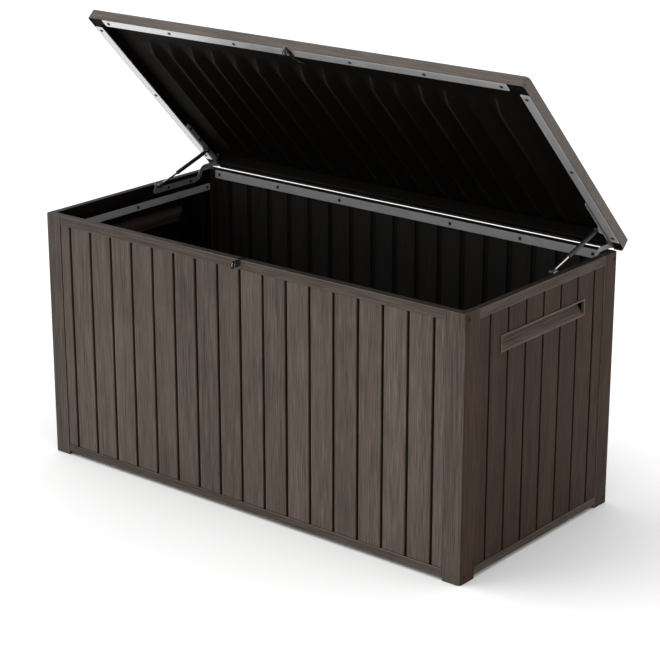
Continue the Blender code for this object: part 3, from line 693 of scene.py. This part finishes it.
def handle_tray(name, to_world, material):
    """The recess's lip, its overhanging top edge and its sloping floor."""
    bm = new_bm()
    low, high, lip, deep = HANDLE_BOTTOM, HANDLE_TOP, HANDLE_LIP, HANDLE_LIP_DEPTH
    lap = 0.0003
    for z0, z1 in ((low - lip, low + lap), (high - lap, high + lip)):
        block(bm, (-HANDLE_HALF - lip, -HANDLE_PROUD, z0), (HANDLE_HALF + lip, deep, z1))
    for sign in (-1, 1):
        x0, x1 = sorted((sign * (HANDLE_HALF - lap), sign * (HANDLE_HALF + lip)))
        block(bm, (x0, -HANDLE_PROUD + 0.0001, low - 0.001), (x1, deep, high + 0.001))
    soften(bm, 0.0009)
    # Each point of the recess's section: depth into the wall, height, and painted shade
    section = [
        (0.0, low, 0.0), (0.008, low + 0.0085, 0.0), (0.017, low + 0.0195, 0.0),
        (0.0235, low + 0.032, 0.0), (0.024, high + 0.012, 0.8), (0.007, high + 0.012, 1.0),
        (0.006, high + 0.001, 0.9),
    ]
    cavity_shade = bm.verts.layers.float["cavity_shade"]
    rings = []
    for x in (-HANDLE_HALF, HANDLE_HALF):
        ring = []
        for y, z, shade_level in section:
            vert = bm.verts.new((x, y, z))
            vert[cavity_shade] = shade_level
            ring.append(vert)
        rings.append(ring)
    for i in range(len(section) - 1):
        bm.faces.new((rings[0][i], rings[0][i + 1], rings[1][i + 1], rings[1][i]))
    bm.faces.new(rings[0])
    bm.faces.new(rings[1][::-1])
    bmesh.ops.transform(bm, matrix=to_world, verts=bm.verts)
    piece(name, bm, material, "bin")


def build_walls():
    front_half = WIDTH / 2 - POST_ON_FRONT - FRONT_POST_GAP
    side_half = DEPTH / 2 - POST_ON_SIDE - SIDE_POST_GAP
    quarter = math.pi / 2
    long_set, short_set = (WALL_FRONT, RAIL_LONG), (WALL_SIDE, RAIL_SHORT)
    long_wall = (front_half, FRONT_WALL, FRONT_INNER_INSET, FRONT_GROOVES, FRONT_GROOVE)
    short_wall = (side_half, SIDE_WALL, 0.0, SIDE_GROOVES, SIDE_GROOVE)
    wall("front_wall", *long_wall, (0, -DEPTH / 2, 0), 0.0, long_set, "front_panel")
    wall("back_wall", *long_wall, (0, DEPTH / 2, 0), 2 * quarter, long_set, "back_panel")
    for side, sign in SIDES.items():
        place = (sign * WIDTH / 2, 0, 0)
        node = f"{side}_panel"
        to_world = wall(
            f"{side}_wall", *short_wall, place, sign * quarter, short_set, node, handle=True
        )
        handle_tray(f"{side}_handle_tray", to_world, HANDLE)


# Painted shade on the post's inner faces; the rim's top face is darkened by RIM_SHADE
def post_shade(place):
    if place.z > HEIGHT - RIM_BAND:
        return RIM_SHADE
    inside_x = abs(place.x) < WIDTH / 2 - SIDE_WALL + 0.001
    return float(inside_x and abs(place.y) < DEPTH / 2 - FRONT_WALL + 0.001)


def build_posts():
    x, y, r, inner = WIDTH / 2, DEPTH / 2, POST_RADIUS, POST_INNER_RADIUS
    outline = [(x - POST_ON_FRONT, y)]
    outline += arc((x - r, y - r), r, 90, 0, 12)
    outline += [(x, y - POST_ON_SIDE), (x - SIDE_WALL, y - POST_ON_SIDE)]
    outline += arc((x - SIDE_WALL - inner, y - FRONT_WALL - inner), inner, 0, 90, 8)
    outline += [(x - POST_ON_FRONT, y - FRONT_WALL)]
    head = [
        (x - 0.0052, 0), (x - 0.0052, 0.0050), (x - 0.0044, 0.0045),
        (x - 0.0040, 0.0016), (x - 0.0046, 0),
    ]
    for side, sign_x in SIDES.items():
        for end, sign_y in {"front": -1, "back": 1}.items():
            bm = new_bm()
            prism(bm, [(sign_x * a, sign_y * b) for a, b in outline], 0, HEIGHT)
            soften(bm, 0.0013)
            darken(bm, post_shade)
            node = f"corner_post_{end}_{side}"
            post = piece(f"post_{end}_{side}", bm, POST, "bin", [node])
            centres = [(0, sign_y * (y - POST_SCREW_IN), z) for z in POST_SCREW_HEIGHTS]
            bm = new_bm()
            for centre in centres:
                x0, x1 = sorted((sign_x * (x - POST_HOLE_DEPTH), sign_x * (x + 0.002)))
                hole = [(x0, 0), (x0, POST_HOLE_RADIUS), (x1, POST_HOLE_RADIUS), (x1, 0)]
                turned(bm, hole, centre, "X", 24)
            cut(post, bm)
            # The post's faces looking sideways take the darker copy: painted shade
            post.data.materials.append(POST_SIDE_SHADED)
            for polygon in post.data.polygons:
                if abs(polygon.normal.x) > 0.8:
                    polygon.material_index = 1
            bm = new_bm()
            for centre in centres:
                turned(bm, [(sign_x * t, radius) for t, radius in head], centre, "X", 24)
            piece(f"post_screws_{end}_{side}", bm, BLACK, "bin")


def build_floor():
    top, under = BOTTOM_RAIL_TOP + GAP + FLOOR_THICK, BOTTOM_RAIL_TOP + GAP
    x, y = WIDTH / 2 - SIDE_WALL - GAP, DEPTH / 2 - FRONT_WALL - GAP
    bm = new_bm()
    cut_in = POST_INNER_RADIUS + 0.002
    outline = []
    for turn, (sx, sy) in enumerate(((1, 1), (-1, 1), (-1, -1), (1, -1))):
        corner = [(x, y - cut_in), (x - cut_in, y)]
        if turn % 2:
            corner.reverse()
        outline += [(sx * a, sy * b) for a, b in corner]
    prism(bm, outline, under, top)
    half_x, half_y = FLOOR_RIB_HALF
    for rib in FLOOR_RIBS:
        block(bm, (rib - half_x, -half_y, FLOOR_RIB_FOOT), (rib + half_x, half_y, under + 0.002))
    half_x, half_y = FLOOR_BEAD_HALF
    for bead in groove_centres(FRONT_GROOVES):
        high = top + FLOOR_BEAD_RISE
        block(bm, (bead - half_x, -half_y, top - 0.002), (bead + half_x, half_y, high))
    soften(bm, 0.0009)
    piece("floor_board", bm, BASE, "bin", ["floor_panel"])


# ---------------- bars and screws

def strip(bm, low, high, flat, corner):
    """A flat bar with rounded corners, thin along the given axis."""
    axis = "XYZ".index(flat)
    a, b = [i for i in range(3) if i != axis]
    centres = (
        (high[a], high[b], 0), (low[a], high[b], 90), (low[a], low[b], 180), (high[a], low[b], 270),
    )
    outline = []
    for index, (p, q, start) in enumerate(centres):
        sp = -1 if index in (0, 3) else 1
        sq = -1 if index in (0, 1) else 1
        outline += arc((p + sp * corner, q + sq * corner), corner, start, start + 90, 6)
    prism(bm, outline, low[axis], high[axis], flat)
    soften(bm, 0.0005)


# The screw's head as (height, radius), and the two slots of its cross as opposite corners
SCREW_HEAD = [
    (0.0, 0), (0.0, 0.0048), (-0.0007, 0.0048), (-0.0014, 0.0043), (-0.0019, 0.0034),
    (-0.0022, 0.0022), (-0.0023, 0),
]
SCREW_CROSS = (
    ((-0.0026, -0.00055, -0.003), (0.0026, 0.00055, -0.0011)),
    ((-0.00055, -0.0026, -0.0031), (0.00055, 0.0026, -0.00112)),
)


def screw_mesh():
    """A pan head with a cross recess, its underside at the origin, facing -Z."""
    bm = new_bm()
    turned(bm, SCREW_HEAD, (0, 0, 0), "Z", 40)
    head = new_object("screw_head", mesh_from("screw_head", bm))
    bm = new_bm()
    for low, high in SCREW_CROSS:
        block(bm, low, high)
    made = subtract(head, bm)
    bpy.data.objects.remove(head)
    made.materials.append(SCREW)
    made.shade_smooth()
    made.set_sharp_from_angle(angle=math.radians(30))
    return made


SCREW_MESH = screw_mesh()
FACING = {
    "+Y": Matrix.Rotation(math.radians(-90), 4, "X"),
    "+X": Matrix.Rotation(math.radians(90), 4, "Y"),
    "-X": Matrix.Rotation(math.radians(-90), 4, "Y"),
    "+Z": Matrix.Identity(4),
}


def screw(name, place, into, body, nodes=(), turn=0.0):
    """A screw driven along the given direction, its head's underside at the place."""
    obj = new_object(name, SCREW_MESH)
    local = Matrix.Translation(place) @ FACING[into] @ Matrix.Rotation(turn, 4, "Z")
    obj.matrix_world = (LID_OPEN if body == "lid" else Matrix.Identity(4)) @ local
    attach(obj, body)
    if nodes:
        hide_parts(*nodes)


def outwards(sign):
    return "+X" if sign > 0 else "-X"


def turn_of(number):
    """How far a screw's cross is turned, different from one screw to the next."""
    return math.radians((number * 37) % 90)


def build_bin_bars():
    face = DEPTH / 2 - FRONT_WALL - GAP
    half, low, high = BACK_BAR
    bm = new_bm()
    strip(bm, (-half, face - BAR_THICK, low), (half, face, high), "Y", 0.0025)
    piece("bar_back", bm, BAR_BACK, "bin", ["back_frame_bar"])
    for number, x in enumerate(LONG_BAR_SCREWS, 1):
        place, nodes = (x, face - BAR_THICK, BACK_BAR_SCREW_Z), [f"back_bar_screw_{number}"]
        screw(f"screw_back_{number}", place, "+Y", "bin", nodes, turn_of(number))
    face = WIDTH / 2 - SIDE_WALL - GAP
    half, low, high = WALL_BAR
    for side, sign in SIDES.items():
        x0, x1 = sorted((sign * (face - BAR_THICK), sign * face))
        bm = new_bm()
        strip(bm, (x0, -half, low), (x1, half, high), "X", 0.0025)
        piece(f"bar_{side}", bm, BAR_WALL, "bin", [f"{side}_frame_bar"])
        for number, y in enumerate(WALL_SCREWS, 1):
            place = (sign * (face - BAR_THICK), y, WALL_BAR_SCREW_Z)
            name, nodes = f"screw_{side}_{number}", [f"{side}_bar_screw_{number}"]
            screw(name, place, outwards(sign), "bin", nodes, turn_of(number + 3))


def build_lid_bars():
    bottom, top = LID_BAR_Z
    front_edge = -LID_DEPTH / 2 + LID_BAR_IN
    outer = LID_WIDTH / 2 - LID_BAR_IN
    half = LID_FRONT_BAR_HALF
    bm = new_bm()
    strip(bm, (-half, front_edge, bottom), (half, front_edge + LID_BAR_WIDTH, top), "Z", 0.002)
    piece("bar_lid_front", bm, BAR_X, "lid", ["lid_front_bar"])
    for number, x in enumerate(LONG_BAR_SCREWS, 1):
        place = (x, front_edge + LID_BAR_WIDTH / 2, bottom)
        name, nodes = f"screw_lid_front_{number}", [f"lid_front_screw_{number}"]
        screw(name, place, "+Z", "lid", nodes, turn_of(number))
    y0, y1 = LID_SIDE_BAR_Y
    for side, sign in SIDES.items():
        low, high = sorted((sign * (outer - LID_BAR_WIDTH), sign * outer))
        bm = new_bm()
        strip(bm, (low, y0, bottom), (high, y1, top), "Z", 0.002)
        piece(f"bar_lid_{side}", bm, BAR_Y, "lid", [f"lid_{side}_bar"])
        for number, y in enumerate(LID_SIDE_SCREWS, 1):
            place = ((low + high) / 2, y, bottom)
            name, nodes = f"screw_lid_{side}_{number}", [f"lid_{side}_screw_{number}"]
            screw(name, place, "+Z", "lid", nodes, turn_of(number + 5))


# ---------------- hinges and struts

def plate(bm, outline, sign, near, far):
    """A plate across X between two distances from the middle, on one side."""
    prism(bm, outline, sign * near, sign * far, "X")


def bin_arm_outlines():
    """The gooseneck's band, the ear that holds the strut's stud, and the pressed bead."""
    low, high = BIN_ARM_Z, BIN_ARM_RISEN
    path = [(0.0745, low), (0.150, low), (0.242, low)]
    path += bezier(path[-1], (0.269, low), (0.259, high), (0.289, high), 24)
    path += [(0.302, high), (0.315, high)]
    path += bezier(path[-1], (0.327, high), (0.336, 0.7065), PIVOT, 14)
    band = stroke(path, [0.008] * 3 + [0.0065] * (len(path) - 3))
    ear = hull([(STRUT_ON_BIN, 0.0075), ((STRUT_ON_BIN[0], low), 0.0078), ((0.095, low), 0.0075)])
    bead = stroke([(0.104, low), (0.235, low)], [0.0035] * 2)
    return band, ear, bead


def lid_arm_outlines():
    """The strap under the lid and the lug that holds the strut's stud."""
    level = LID_ARM_TIP[1]
    path = [LID_ARM_TIP, (0.243, level), (0.319, level)]
    path += bezier(path[-1], (0.328, level), (0.336, 0.7045), PIVOT, 12)
    strap = stroke(path, [0.0065] * len(path))
    lug = hull([(STRUT_ON_LID, 0.007), ((0.249, 0.7025), 0.006), ((0.279, 0.7025), 0.006)])
    return strap, lug


def build_arms():
    band, ear, bead = bin_arm_outlines()
    strap, lug = lid_arm_outlines()
    shy = 0.0001
    bin_far, lid_far = BIN_ARM_X + ARM_THICK, LID_ARM_X + ARM_THICK
    for side, sign in SIDES.items():
        bm = new_bm()
        plate(bm, band, sign, BIN_ARM_X, bin_far)
        plate(bm, ear, sign, BIN_ARM_X + shy, bin_far - shy)
        plate(bm, bead, sign, BIN_ARM_X - ARM_BEAD_PROUD, BIN_ARM_X + 0.001)
        soften(bm, 0.0005)
        piece(f"arm_bin_{side}", bm, ARM, "bin", [f"bin_arm_{side}"])
        for number, y in enumerate(BIN_ARM_SCREWS, 1):
            place = (sign * (BIN_ARM_X - ARM_BEAD_PROUD), y, BIN_ARM_Z)
            screw(f"screw_arm_{side}_{number}", place, outwards(sign), "bin")
        bm = new_bm()
        plate(bm, strap, sign, LID_ARM_X, lid_far)
        plate(bm, lug, sign, LID_ARM_X + shy, lid_far - shy)
        soften(bm, 0.0005)
        piece(f"arm_lid_{side}", bm, ARM, "lid", [f"lid_arm_{side}"])
        for number, y in enumerate(LID_ARM_SCREWS, 1):
            place = (sign * LID_ARM_X, y, LID_ARM_TIP[1])
            screw(f"screw_lid_arm_{side}_{number}", place, outwards(sign), "lid")


def build_pins_and_studs():
    """Each profile is a list of (distance from the middle, radius)."""
    inboard, outboard = LID_ARM_X - GAP, BIN_ARM_X + ARM_THICK + GAP
    pin = [
        (inboard - 0.0017, 0), (inboard - 0.0017, 0.0028), (inboard - 0.0010, 0.0041),
        (inboard - 0.0002, 0.0045), (inboard, 0.0045), (inboard, 0.0025), (outboard, 0.0025),
        (outboard, 0.0045), (outboard + 0.0009, 0.0042), (outboard + 0.0015, 0.0030),
        (outboard + 0.0015, 0),
    ]
    eye_out = STRUT_X + 0.006
    lid_face, bin_face = LID_ARM_X - GAP, BIN_ARM_X - GAP
    upper = [
        (eye_out + GAP, 0), (eye_out + GAP, 0.0042), (eye_out + 0.0006, 0.0050),
        (lid_face, 0.0050), (lid_face, 0),
    ]
    lower = [
        (eye_out + GAP, 0), (eye_out + GAP, 0.0026), (eye_out + 0.0007, 0.0030),
        (bin_face - 0.0014, 0.0030), (bin_face - 0.0014, 0.0044), (bin_face - 0.0009, 0.0050),
        (bin_face, 0.0050), (bin_face, 0),
    ]
    kinds = (
        ("pin", "hinge_pin", pin, PIVOT, "bin"),
        ("stud_upper", "upper_stud", upper, STRUT_ON_LID, "lid"),
        ("stud_lower", "lower_stud", lower, STRUT_ON_BIN, "bin"),
    )
    for side, sign in SIDES.items():
        for name, node, profile, spot, body in kinds:
            bm = new_bm()
            turned(bm, [(sign * t, r) for t, r in profile], (0, *spot), "X", 36)
            nodes = [f"{node}_{side}"]
            piece(f"{name}_{side}", bm, ZINC, body, nodes, angle=30)


# Parts of a strut as (position, radius). The eye's run across, the cylinder's from the upper
# eye's middle, and those of the rod and its socket are measured back from the lower eye's middle
STRUT_EYE = [
    (-0.006, 0), (-0.006, 0.0058), (-0.005, 0.0068), (0.005, 0.0068), (0.006, 0.0058), (0.006, 0),
]
CYLINDER = [
    (0.003, 0), (0.003, 0.0034), (0.009, 0.0037), (0.0105, 0.0037), (0.0115, 0.0050),
    (0.0125, 0.0056), (0.0140, 0.0058), (0.1335, 0.0058), (0.1340, 0.0055), (0.1345, 0.0058),
    (0.1362, 0.0057), (0.1374, 0.0052), (0.1380, 0.0044), (0.1380, 0.0032), (0.1362, 0.0031),
    (0.1362, 0),
]
ROD = [(0.098, 0), (0.098, 0.0026), (0.0975, 0.003), (0.0142, 0.003), (0.0140, 0)]
SOCKET = [
    (0.0150, 0), (0.0150, 0.0034), (0.0145, 0.0040), (0.0065, 0.0040), (0.004, 0.0034), (0.004, 0),
]


def build_struts():
    top = LID_OPEN @ Vector((0, *STRUT_ON_LID))
    low = Vector((0, *STRUT_ON_BIN))
    length = (low - top).length
    heading = math.atan2(low.z - top.z, low.y - top.y)
    rod = [(length - back, radius) for back, radius in ROD]
    socket = [(length - back, radius) for back, radius in SOCKET]
    start, end = (0, 0, 0), (0, length, 0)
    for side, sign in SIDES.items():
        spot = Matrix.Translation((sign * STRUT_X, top.y, top.z))
        spot = spot @ Matrix.Rotation(heading, 4, "X")
        tube, bar = f"cylinder_{side}", f"rod_{side}"
        tube_node, bar_node = [f"strut_cylinder_{side}"], [f"strut_rod_{side}"]
        upper = ((CYLINDER, start, "Y", 40), (STRUT_EYE, start, "X", 40))
        lower = ((socket, start, "Y", 32), (STRUT_EYE, end, "X", 40))
        for name, shapes, material, body, slot, nodes in (
            (tube, upper, BLACK, tube, "cylinder_paint", tube_node),
            (bar, [(rod, start, "Y", 32)], CHROME, bar, "rod_chrome", bar_node),
            (f"rod_end_{side}", lower, BLACK, bar, "rod_chrome", ()),
        ):
            bm = new_bm()
            for shape in shapes:
                turned(bm, *shape)
            bmesh.ops.transform(bm, matrix=spot, verts=bm.verts)
            piece(name, bm, material, body, nodes, angle=30)


# ---------------- padlock eyes

def build_locks():
    """Each bracket is an angled strap, a web that stands out from it, and a ring with an eyelet."""
    outer, inner = -DEPTH / 2 - GAP, -DEPTH / 2 + 0.020
    y, z = LOCK_POINT
    foot, top = 0.6725, HEIGHT + GAP
    bin_strap = [
        (outer - 0.001, foot), (outer - 0.001, top + 0.001), (inner, top + 0.001),
        (inner, top), (outer, top), (outer, foot),
    ]
    root, tip = outer - 0.0015, (y + 0.004, z)
    bin_web = [((root, z + 0.0095), 0.0008), ((root, z - 0.0085), 0.0008), (tip, 0.0078)]
    under = LID_BAR_Z[0] - GAP
    low = under - 0.0015
    lid_strap = [
        (-0.3480, low), (-0.3480, under), (-0.3155, under),
        (-0.2735, 0.7135), (-0.2715, 0.7122), (-0.3147, low),
    ]
    root, tip = low + 0.0006, (y, z + 0.003)
    lid_web = [((y + 0.0105, root), 0.0006), ((y - 0.0085, root), 0.0006), (tip, 0.0078)]
    for body, sign, half, strap, web in (
        ("bin", -1, 0.0075, bin_strap, bin_web), ("lid", 1, 0.008, lid_strap, lid_web),
    ):
        centre = (sign * LOCK_X, y, z)
        near, far = sorted((sign * 0.001, sign * 0.004))
        bm = new_bm()
        prism(bm, strap, -half, half, "X")
        prism(bm, hull(web), near, far, "X")
        soften(bm, 0.0004)
        torus(bm, centre, *LOCK_RING)
        piece(f"lock_{body}", bm, GLOSS, body, [f"{body}_lock_bracket"])
        bm = new_bm()
        torus(bm, centre, *LOCK_EYELET)
        piece(f"lock_{body}_eyelet", bm, CHROME, body, [f"{body}_lock_eyelet"])


# ---------------- lid

# The edges of a rim loop that cross the right and the left hinge notch
NOTCH_EDGES = (9, 11)
# Where the lining's grid has its columns beside the pan's wall, and the width of the rest
GRID_SIDE_STEPS = (0.0, 0.0005, 0.0010, 0.0015, 0.0119, 0.0121)
GRID_SIDE = 0.013
GRID_COLUMNS = 16 * LID_RIBS + 32
# The grid's rows from the front to the back: start, step and count
GRID_ROWS = (
    (PAN_FRONT, 0.002, 6), (-0.3075, 0.006, 21), (-0.1815, 0.022, 20), (0.262, 0.004, 12),
    (0.3135, 0.002, 7),
)
# The painted highlight along a rib's crest, and how it fades towards the hinge
CREST_FROM = 0.97
CREST_HIGHLIGHT_LEVEL = (0.9, 0.75)
CREST_FADE = (-0.24, 0.05)
TINY = 1e-7


def loop_points(inset, z):
    """The lid's outline as a rounded rectangle, from the back right corner, with notch points."""
    half_x, half_y = LID_WIDTH / 2 - inset, LID_DEPTH / 2 - inset
    radius = LID_RADIUS - min(inset, 0.0095)
    points = []
    for sx, sy, start in ((1, 1, 0), (-1, 1, 90), (-1, -1, 180), (1, -1, 270)):
        centre = (sx * (half_x - radius), sy * (half_y - radius))
        points += [(x, y, z) for x, y in arc(centre, radius, start, start + 90, 8)]
        if start == 0:
            notches = (NOTCH_X[1], NOTCH_X[0], -NOTCH_X[0], -NOTCH_X[1])
            points += [(x, half_y, z) for x in notches]
    return points


def add_loop(bm, points):
    return [bm.verts.new(point) for point in points]


def join(bm, first, second, skip=()):
    count = len(first)
    for i in range(count):
        if i not in skip:
            j = (i + 1) % count
            bm.faces.new((first[i], first[j], second[j], second[i]))


def clamped(value, low, high):
    return max(low, min(high, value))


def smoothstep(low, high, value):
    t = clamped((value - low) / (high - low), 0.0, 1.0)
    return t * t * (3 - 2 * t)


def rib_shape(x):
    """1 on a rib's crest and 0 in the hollow between two. The crests lie between the grooves."""
    if abs(x) > LID_RIBS / 2 * PLANK_PITCH:
        return 0.0
    off = abs(x / PLANK_PITCH - math.floor(x / PLANK_PITCH) - 0.5) * PLANK_PITCH
    return 1.0 - min(1.0, max(0.0, off - RIB_CREST_HALF) / RIB_REACH) ** RIB_POWER


def rib_fade(y):
    return smoothstep(*RIB_START, y) * (1 - smoothstep(*RIB_END, y))


def pan_height(x, y):
    """The height of the lining with the lid closed. It is open above the hinge notches."""
    side = smoothstep(0.0, PAN_SIDE_SLOPE, PAN_HALF - abs(x))
    if NOTCH_X[0] < abs(x) and y > NOTCH_OPEN_Y:
        return LID_ROOF if side else LID_LEDGE
    front = smoothstep(0.0, PAN_END_SLOPE, y - PAN_FRONT)
    ends = front * smoothstep(0.0, PAN_END_SLOPE, PAN_REAR - y)
    rise = (LID_ROOF - LID_LEDGE) * side * ends
    return LID_LEDGE + rise - RIB_DEPTH * rib_shape(x) * rib_fade(y) * ends * side


def add_notch(bm, sign):
    """The two cheeks and the ceiling of a hinge notch, and the strip above its open front."""
    low, front, back = LID_RIM + RIM_CHAMFER[1] - REAR_DROP, NOTCH_FRONT, LID_DEPTH / 2
    cheeks = []
    for x in (sign * NOTCH_X[0], sign * NOTCH_X[1]):
        corners = ((front, low), (back, low), (back, NOTCH_TOP), (front, NOTCH_TOP))
        cheeks.append([bm.verts.new((x, y, z)) for y, z in corners])
    inner, outer = cheeks
    bm.faces.new(inner)
    bm.faces.new(outer)
    bm.faces.new((inner[3], inner[2], outer[2], outer[3]))
    above = [bm.verts.new((sign * x, front, LID_ROOF)) for x in reversed(NOTCH_X)]
    bm.faces.new([inner[3], outer[3], *above])


def build_lid_skin():
    half_x, half_y = LID_WIDTH / 2, LID_DEPTH / 2
    chamfer_in, chamfer_up = RIM_CHAMFER
    bm = new_bm()
    wear_and_highlight = bm.verts.layers.float["wear_and_highlight"]
    inside = bm.verts.layers.float["inside"]
    # From the skirt's inner face, around the rim, and up the outer face
    inner_low, rim_in, rim_mid_in, rim_mid_out, rim_out, notch_level = loops = [
        add_loop(bm, loop_points(inset, z)) for inset, z in (
            (LID_SKIRT, LID_LEDGE), (LID_SKIRT, LID_RIM + chamfer_up),
            (LID_SKIRT - chamfer_in, LID_RIM), (chamfer_in, LID_RIM),
            (0.0, LID_RIM + chamfer_up), (0.0, NOTCH_TOP),
        )
    ]
    # The rim's rounded edges lighter: partly wear, partly a painted highlight
    for vert in rim_mid_in + rim_mid_out:
        vert[wear_and_highlight] = 0.7
    # Painted shade on the skirt's inner face
    for vert in inner_low + rim_in:
        vert[inside] = 1.0
    drop_from, drop_to = (half_y - edge for edge in REAR_DROP_ZONE)
    for vert in rim_in + rim_mid_in + rim_mid_out + rim_out:
        vert.co.z -= REAR_DROP * smoothstep(drop_from, drop_to, vert.co.y)
    for first, second in zip(loops, loops[1:]):
        join(bm, first, second, NOTCH_EDGES)
    last = notch_level
    for step in range(LID_EDGE_STEPS + 1):
        angle = math.pi / 2 * step / LID_EDGE_STEPS
        inset = LID_EDGE_RADIUS * (1 - math.cos(angle))
        loop = add_loop(bm, loop_points(inset, LID_TOP - LID_EDGE_RADIUS * (1 - math.sin(angle))))
        # The top's rounded edge lighter: partly wear, partly a painted highlight
        if 0 < step < LID_EDGE_STEPS:
            for vert in loop:
                vert[wear_and_highlight] = 0.6
        join(bm, last, loop)
        last = loop
    x, y = half_x - LID_BORDER, half_y - LID_BORDER
    flat = [(clamped(v.co.x, -x, x), clamped(v.co.y, -y, y), LID_TOP) for v in last]
    join(bm, last, add_loop(bm, flat))
    for sign in SIDES.values():
        add_notch(bm, sign)
    bmesh.ops.dissolve_degenerate(bm, dist=TINY, edges=bm.edges)
    bmesh.ops.recalc_face_normals(bm, faces=bm.faces)
    piece("lid_skin", bm, LID_EDGE, "lid", ["lid_shell"], angle=50)


def lengthwise(edge):
    a, b = edge.verts
    return abs(a.co.y - b.co.y) > 0.1


def build_lid_planks():
    x, y = LID_WIDTH / 2 - LID_BORDER, LID_DEPTH / 2 - LID_BORDER
    under = LID_ROOF + 0.0005
    bm = new_bm()
    centres = groove_centres(FRONT_GROOVES)
    outline = comb(-x, x, centres, LID_GROOVE, LID_TOP, LID_TOP - LID_GROOVE_DEPTH)
    outline += [(x, under), (-x, under)]
    prism(bm, outline, -y, y, "Y")
    soften(bm, 0.0009, 3, 60, lengthwise)
    piece("lid_planks", bm, LID_OUTER, "lid")


def build_lid_lining():
    bm = new_bm()
    outer = add_loop(bm, loop_points(LID_SKIRT, LID_LEDGE))
    inner = add_loop(bm, [
        (clamped(v.co.x, -PAN_HALF, PAN_HALF), clamped(v.co.y, PAN_FRONT, PAN_REAR), LID_LEDGE)
        for v in outer
    ])
    join(bm, outer, inner, NOTCH_EDGES)
    xs = [-PAN_HALF + step for step in GRID_SIDE_STEPS]
    span = PAN_HALF - GRID_SIDE
    middle = [-span + 2 * span * i / GRID_COLUMNS for i in range(GRID_COLUMNS + 1)]
    xs = xs + middle + [-x for x in reversed(xs)]
    ys = [start + step * i for start, step, count in GRID_ROWS for i in range(count)]
    wear_and_highlight = bm.verts.layers.float["wear_and_highlight"]
    most, loss = CREST_HIGHLIGHT_LEVEL
    grid = []
    for y in ys:
        row = []
        for x in xs:
            vert = bm.verts.new((x, y, pan_height(x, y)))
            crest = smoothstep(CREST_FROM, 1.0, rib_shape(x)) * smoothstep(0.0, 0.25, rib_fade(y))
            # Painted highlight along the rib crests
            vert[wear_and_highlight] = crest * (most - loss * smoothstep(*CREST_FADE, y))
            row.append(vert)
        grid.append(row)
    for first, second in zip(grid, grid[1:]):
        for i in range(len(xs) - 1):
            bm.faces.new((first[i], second[i], second[i + 1], first[i + 1]))
    bmesh.ops.dissolve_degenerate(bm, dist=TINY, edges=bm.edges)
    piece("lid_lining", bm, LID_INNER, "lid", angle=60)


# ---------------- studio

FLOOR_HALF = 30.0
FLOOR_Z = -0.0005
FLOOR_ALBEDO = (0.948, 0.956)
WORLD_STRENGTH = 1.04
SUN_ENERGY = 1.1
SUN_ANGLE = 0.9
SUN_FROM = (-0.60, -0.29, 0.75)
CAMERA_PLACE = (3.32535, -4.06185, 2.19857)
CAMERA_AZIMUTH = 39.096
CAMERA_ELEVATION = 18.717
LENS_MM = 112.656
SENSOR_MM = 36.0


def build_studio():
    scene = bpy.context.scene
    bm = new_bm()
    half = FLOOR_HALF
    corners = ((-half, -half), (half, -half), (half, half), (-half, half))
    bm.faces.new([bm.verts.new((x, y, FLOOR_Z)) for x, y in corners])
    mesh = mesh_from("studio_floor", bm)
    floor = new_object("studio_floor", mesh)
    material, tree, shader = start_material("studio_floor")
    place = add(tree, "TexCoord").outputs["Object"]
    shade = ranged(tree, noise(tree, place, 3.0, 2.0), 0.3, 0.7, *FLOOR_ALBEDO)
    tree.links.new(grey(tree, shade), shader.inputs["Base Color"])
    shader.inputs["Roughness"].default_value = 0.85
    shader.inputs["Specular IOR Level"].default_value = 0.1
    mesh.materials.append(material)
    world = bpy.data.worlds.new("studio")
    world.use_nodes = True
    background = world.node_tree.nodes["Background"]
    background.inputs["Color"].default_value = (1.0, 1.0, 1.0, 1)
    background.inputs["Strength"].default_value = WORLD_STRENGTH
    scene.world = world
    sun = bpy.data.lights.new("key", "SUN")
    sun.energy = SUN_ENERGY
    sun.angle = SUN_ANGLE
    key = new_object("key", sun)
    key.rotation_euler = Vector(SUN_FROM).to_track_quat("Z", "Y").to_euler()
    camera = bpy.data.cameras.new("camera")
    camera.lens = LENS_MM
    camera.sensor_width = SENSOR_MM
    camera.clip_end = 100.0
    obj = new_object("camera", camera)
    obj.location = CAMERA_PLACE
    tilt, turn = math.radians(90 - CAMERA_ELEVATION), math.radians(CAMERA_AZIMUTH)
    obj.rotation_euler = (tilt, 0.0, turn)
    scene.camera = obj
    scene.view_settings.view_transform = "Standard"


build_walls()
build_posts()
build_floor()
build_bin_bars()
build_lid_bars()
build_arms()
build_pins_and_studs()
build_struts()
build_locks()
build_lid_skin()
build_lid_planks()
build_lid_lining()
build_studio()
